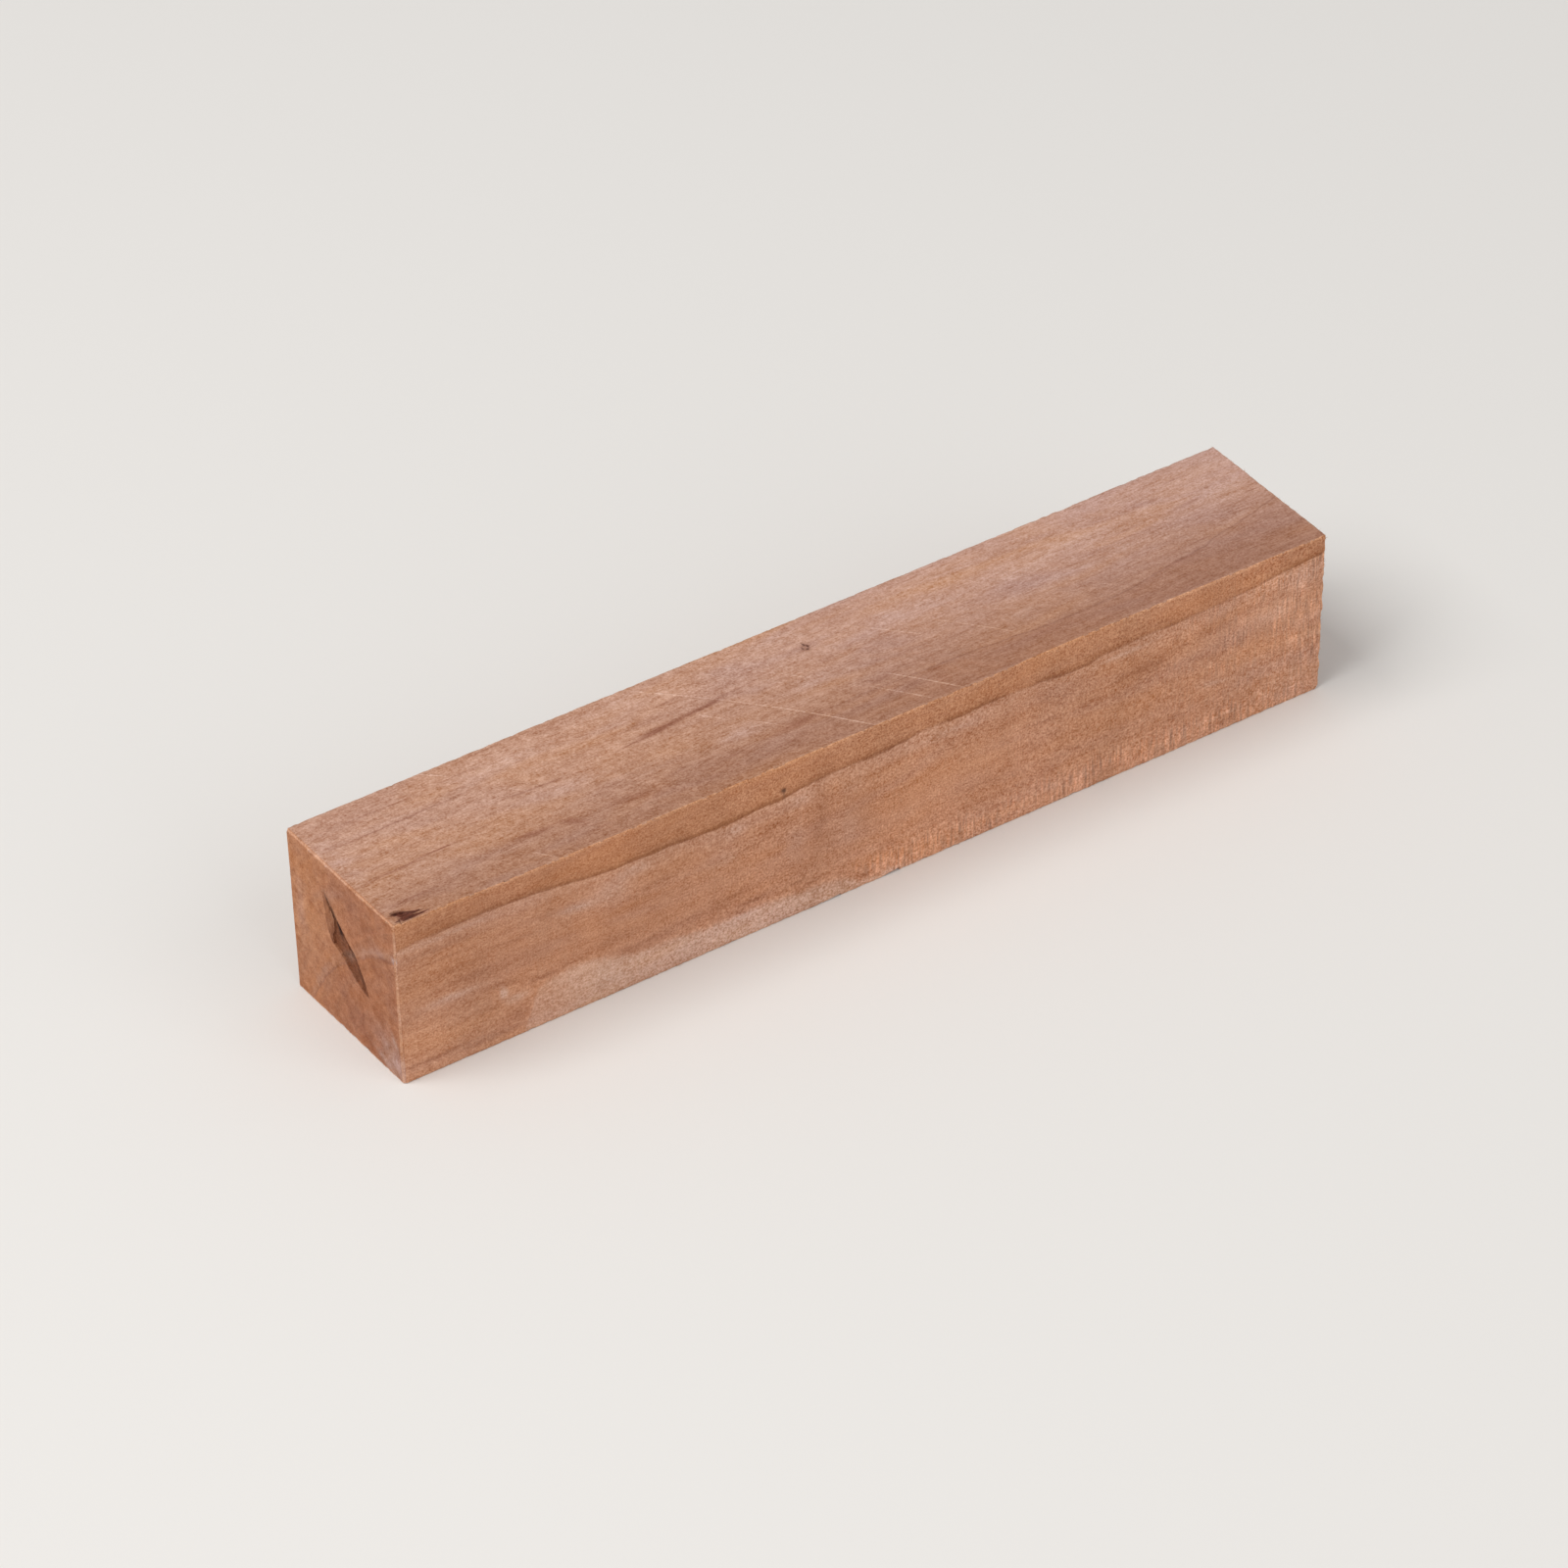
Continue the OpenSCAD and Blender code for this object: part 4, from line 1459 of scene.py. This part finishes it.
def fibre_tree(material):
    """Scatters loose fibres over a surface where its fuzz attribute is high."""
    tree, put, end = start_tree("torn_fibres", "Fibres", ("Length", "Width", "Density"))
    points = add(
        tree,
        "GeometryNodeDistributePointsOnFaces",
        {
            "Mesh": put["Blank"],
            "Density": add(
                tree,
                MATH,
                (
                    add(
                        tree, "GeometryNodeInputNamedAttribute", ("fuzz",), data_type="FLOAT"
                    ).outputs["Attribute"],
                    put["Density"],
                ),
                operation="MULTIPLY",
            ),
            "Seed": 4,
        },
        distribute_method="RANDOM",
    )
    fibre = add(
        tree,
        "GeometryNodeMeshCone",
        {
            "Vertices": 3,
            "Side Segments": 3,
            "Radius Top": 0.0,
            "Radius Bottom": add(tree, MATH, (put["Width"], 0.5), operation="MULTIPLY"),
            "Depth": put["Length"],
        },
        fill_type="NGON",
    )
    # Each fibre curls over as it leaves the wood
    along = add(tree, "ShaderNodeSeparateXYZ", (add(tree, "GeometryNodeInputPosition"),))
    share = add(tree, MATH, (along.outputs["Z"], put["Length"]), operation="DIVIDE")
    bend = add(
        tree,
        MATH,
        (add(tree, MATH, (share, share), operation="MULTIPLY"), put["Length"]),
        operation="MULTIPLY",
    )
    curl = add(
        tree, "ShaderNodeCombineXYZ", {"X": add(tree, MATH, (bend, 0.45), operation="MULTIPLY")}
    )
    curled = add(
        tree, "GeometryNodeSetPosition", {"Geometry": fibre.outputs["Mesh"], "Offset": curl}
    )
    # A fibre leans over by 30 to 80 degrees from the face's normal
    upright = add(
        tree,
        "FunctionNodeAlignRotationToVector",
        {"Vector": points.outputs["Normal"]},
        axis="Z",
    )
    lean = add(
        tree,
        "FunctionNodeRandomValue",
        {0: (0.55, -0.5, -math.pi), 1: (1.4, 0.5, math.pi), "Seed": 7},
        data_type="FLOAT_VECTOR",
    )
    turned = add(
        tree,
        "FunctionNodeRotateRotation",
        {"Rotation": upright, "Rotate By": lean},
        rotation_space="LOCAL",
    )
    size = add(
        tree, "FunctionNodeRandomValue", {2: 0.35, 3: 1.0, "Seed": 11}, data_type="FLOAT"
    )
    placed = add(
        tree,
        "GeometryNodeInstanceOnPoints",
        {
            "Points": points,
            "Instance": curled,
            "Rotation": turned,
            "Scale": size.outputs[1],
        },
    )
    whole = add(tree, "GeometryNodeRealizeInstances", {"Geometry": placed})
    dressed = add(
        tree,
        "GeometryNodeSetMaterial",
        {"Geometry": kept_above_floor(tree, whole), "Material": material},
    )
    tree.links.new(dressed.outputs[0], end.inputs[0])
    return tree


def grown(mesh, tree, values, name):
    """Runs a node tree on a mesh and returns the result as a plain object."""
    carrier = bpy.data.objects.new(name + "_base", mesh)
    bpy.context.scene.collection.objects.link(carrier)
    modifier = carrier.modifiers.new(tree.name, "NODES")
    modifier.node_group = tree
    for item in tree.interface.items_tree:
        if item.in_out == "INPUT" and item.name in values:
            modifier[item.identifier] = values[item.name]
    bpy.context.view_layer.update()
    graph = bpy.context.evaluated_depsgraph_get()
    result = bpy.data.meshes.new_from_object(
        carrier.evaluated_get(graph), preserve_all_data_layers=True, depsgraph=graph
    )
    result.name = name
    bpy.data.objects.remove(carrier)
    piece = bpy.data.objects.new(name, result)
    bpy.context.scene.collection.objects.link(piece)
    return piece


class TURNING_OT_dress_blank(bpy.types.Operator):
    """Cut the solid into a fine grid and give it the relief and figure of sawn wood"""

    bl_idname = "turning.dress_blank"
    bl_label = "Dress the Blank"

    def execute(self, context):
        finish = context.scene.blank_finish
        groups = {"mark": mark_group(), "figure": figure_group()}
        materials = {
            "top": top_material(finish, groups),
            "front": side_material(
                finish, groups, "ripsawn_front", "Z", FRONT_RING, FRONT_RING_DEPTH,
                FRONT_SAPWOOD, FRONT_DARK, FRONT_PALE,
            ),
            "back": side_material(
                finish, groups, "ripsawn_back", "Z", BACK_RING, BACK_RING_DEPTH,
                NO_SAPWOOD, BACK_DARK, BACK_PALE,
            ),
            "foot": side_material(
                finish, groups, "ripsawn_underside", "Y", FOOT_RING, FOOT_RING_DEPTH,
                NO_SAPWOOD, FOOT_DARK, FOOT_PALE,
            ),
            "near": end_material(
                finish, groups, "crosscut_near_end", NEAR_RING, NEAR_DARK, NEAR_PALE,
                BARK_UPPER, BARK_LOWER, BARK_CRACK_SHADE,
            ),
            "far": end_material(
                finish, groups, "crosscut_far_end", FAR_RING, FAR_DARK, FAR_PALE,
                FAR_UPPER, FAR_LOWER, FAR_CRACK_SHADE,
            ),
        }
        coarse = 1
        mesh, ends = fine_mesh(
            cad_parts[NODE], finish.grid_along * coarse, finish.grid_across * coarse
        )
        write_masks(mesh, ends)
        values = {
            "Saw wave": finish.saw_wave,
            "Saw pitch": finish.saw_pitch,
            "Fuzz": finish.fuzz,
            "Fray": finish.fray,
            "Crumbs": finish.crumbs,
        }
        piece = grown(mesh, relief_tree(materials), values, "sawn_blank")
        piece.data.shade_smooth()
        piece.data.set_sharp_from_angle(angle=math.radians(35))
        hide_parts(NODE)
        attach(piece, BODY)
        return {"FINISHED"}


class TURNING_OT_raise_fibres(bpy.types.Operator):
    """Scatter the loose fibres that the saws tore up on the sides and arrises"""

    bl_idname = "turning.raise_fibres"
    bl_label = "Raise the Fibres"

    def execute(self, context):
        finish = context.scene.blank_finish
        base = bpy.data.objects["sawn_blank"].data.copy()
        values = {
            "Length": finish.fibre_length,
            "Width": finish.fibre_width,
            "Density": FIBRES_PER_MM2 / MM**2,
        }
        piece = grown(base, fibre_tree(fibre_material(finish)), values, "torn_fibres")
        if not len(piece.data.polygons):
            raise RuntimeError("no fibres were made")
        piece.data.shade_smooth()
        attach(piece, BODY)
        return {"FINISHED"}


def add_lamp(name, place, size, power):
    """A square soft box that faces the middle of the blank."""
    lamp = bpy.data.lights.new(name, "AREA")
    lamp.shape = "SQUARE"
    lamp.size = size
    lamp.energy = power
    holder = bpy.data.objects.new(name, lamp)
    holder.location = place
    aim = Vector((0.0, 0.0, HIGH.z / 2)) - holder.location
    holder.rotation_euler = aim.to_track_quat("-Z", "Y").to_euler()
    bpy.context.scene.collection.objects.link(holder)


class TURNING_OT_set_stage(bpy.types.Operator):
    """Set up the camera, the soft boxes and the plain pale floor"""

    bl_idname = "turning.set_stage"
    bl_label = "Set the Stage"

    def execute(self, context):
        stage = context.scene.blank_stage
        scene = context.scene
        azimuth, elevation, roll = stage.azimuth, stage.elevation, stage.roll
        back = Vector(
            (
                math.sin(azimuth) * math.cos(elevation),
                -math.cos(azimuth) * math.cos(elevation),
                math.sin(elevation),
            )
        )
        level = Vector((math.cos(azimuth), math.sin(azimuth), 0.0))
        upright = back.cross(level)
        right = level * math.cos(roll) + upright * math.sin(roll)
        up = upright * math.cos(roll) - level * math.sin(roll)
        lens = bpy.data.cameras.new("camera")
        lens.lens = stage.lens
        lens.sensor_width = FILM
        lens.clip_start = 0.05
        camera = bpy.data.objects.new("camera", lens)
        turn = Matrix((right, up, back)).transposed()
        camera.matrix_world = (
            Matrix.Translation(Vector(stage.target) + back * stage.distance) @ turn.to_4x4()
        )
        scene.collection.objects.link(camera)
        scene.camera = camera

        half = FLOOR_REACH
        floor_mesh = bpy.data.meshes.new("studio_floor")
        floor_mesh.from_pydata(
            [(-half, -half, 0), (half, -half, 0), (half, half, 0), (-half, half, 0)],
            [],
            [(0, 1, 2, 3)],
        )
        floor = bpy.data.objects.new("studio_floor", floor_mesh)
        scene.collection.objects.link(floor)
        paper = bpy.data.materials.new("studio_paper")
        paper.use_nodes = True
        tree = paper.node_tree
        tree.nodes.clear()
        shader = add(tree, "ShaderNodeBsdfPrincipled")
        shader.inputs["Base Color"].default_value = linear(stage.floor)
        shader.inputs["Roughness"].default_value = 0.9
        shader.inputs["Specular IOR Level"].default_value = 0.0
        add(tree, "ShaderNodeOutputMaterial", {"Surface": shader})
        floor_mesh.materials.append(paper)

        add_lamp("key_box", (-0.7, 0.05, 1.05), 0.8, 10.3)
        add_lamp("fill_box", (0.25, -1.1, 0.75), 1.2, 5.0)
        world = bpy.data.worlds.new("studio_air")
        world.use_nodes = True
        air = world.node_tree.nodes["Background"]
        air.inputs["Color"].default_value = (1.0, 1.0, 1.0, 1.0)
        air.inputs["Strength"].default_value = 0.42
        scene.world = world
        scene.view_settings.view_transform = "Standard"
        return {"FINISHED"}


class TURNING_PT_panel(bpy.types.Panel):
    """Sizes, colours and steps of the turning blank"""

    bl_idname = "TURNING_PT_panel"
    bl_label = "Turning Blank"
    bl_space_type = "VIEW_3D"
    bl_region_type = "UI"
    bl_category = "Turning Blank"

    def draw(self, context):
        column = self.layout.column()
        for step in STEPS:
            column.operator(step.bl_idname)
        for group in (context.scene.blank_finish, context.scene.blank_stage):
            for name in group.__annotations__:
                column.prop(group, name)


STEPS = (TURNING_OT_dress_blank, TURNING_OT_raise_fibres, TURNING_OT_set_stage)
CLASSES = (BlankFinish, BlankStage, *STEPS, TURNING_PT_panel)


def register():
    for item in CLASSES:
        bpy.utils.register_class(item)
    bpy.types.Scene.blank_finish = bpy.props.PointerProperty(type=BlankFinish)
    bpy.types.Scene.blank_stage = bpy.props.PointerProperty(type=BlankStage)


def unregister():
    del bpy.types.Scene.blank_stage
    del bpy.types.Scene.blank_finish
    for item in reversed(CLASSES):
        bpy.utils.unregister_class(item)


def main():
    register()
    bpy.ops.turning.dress_blank()
    bpy.ops.turning.raise_fibres()
    bpy.ops.turning.set_stage()


if __name__ == "__main__":
    main()
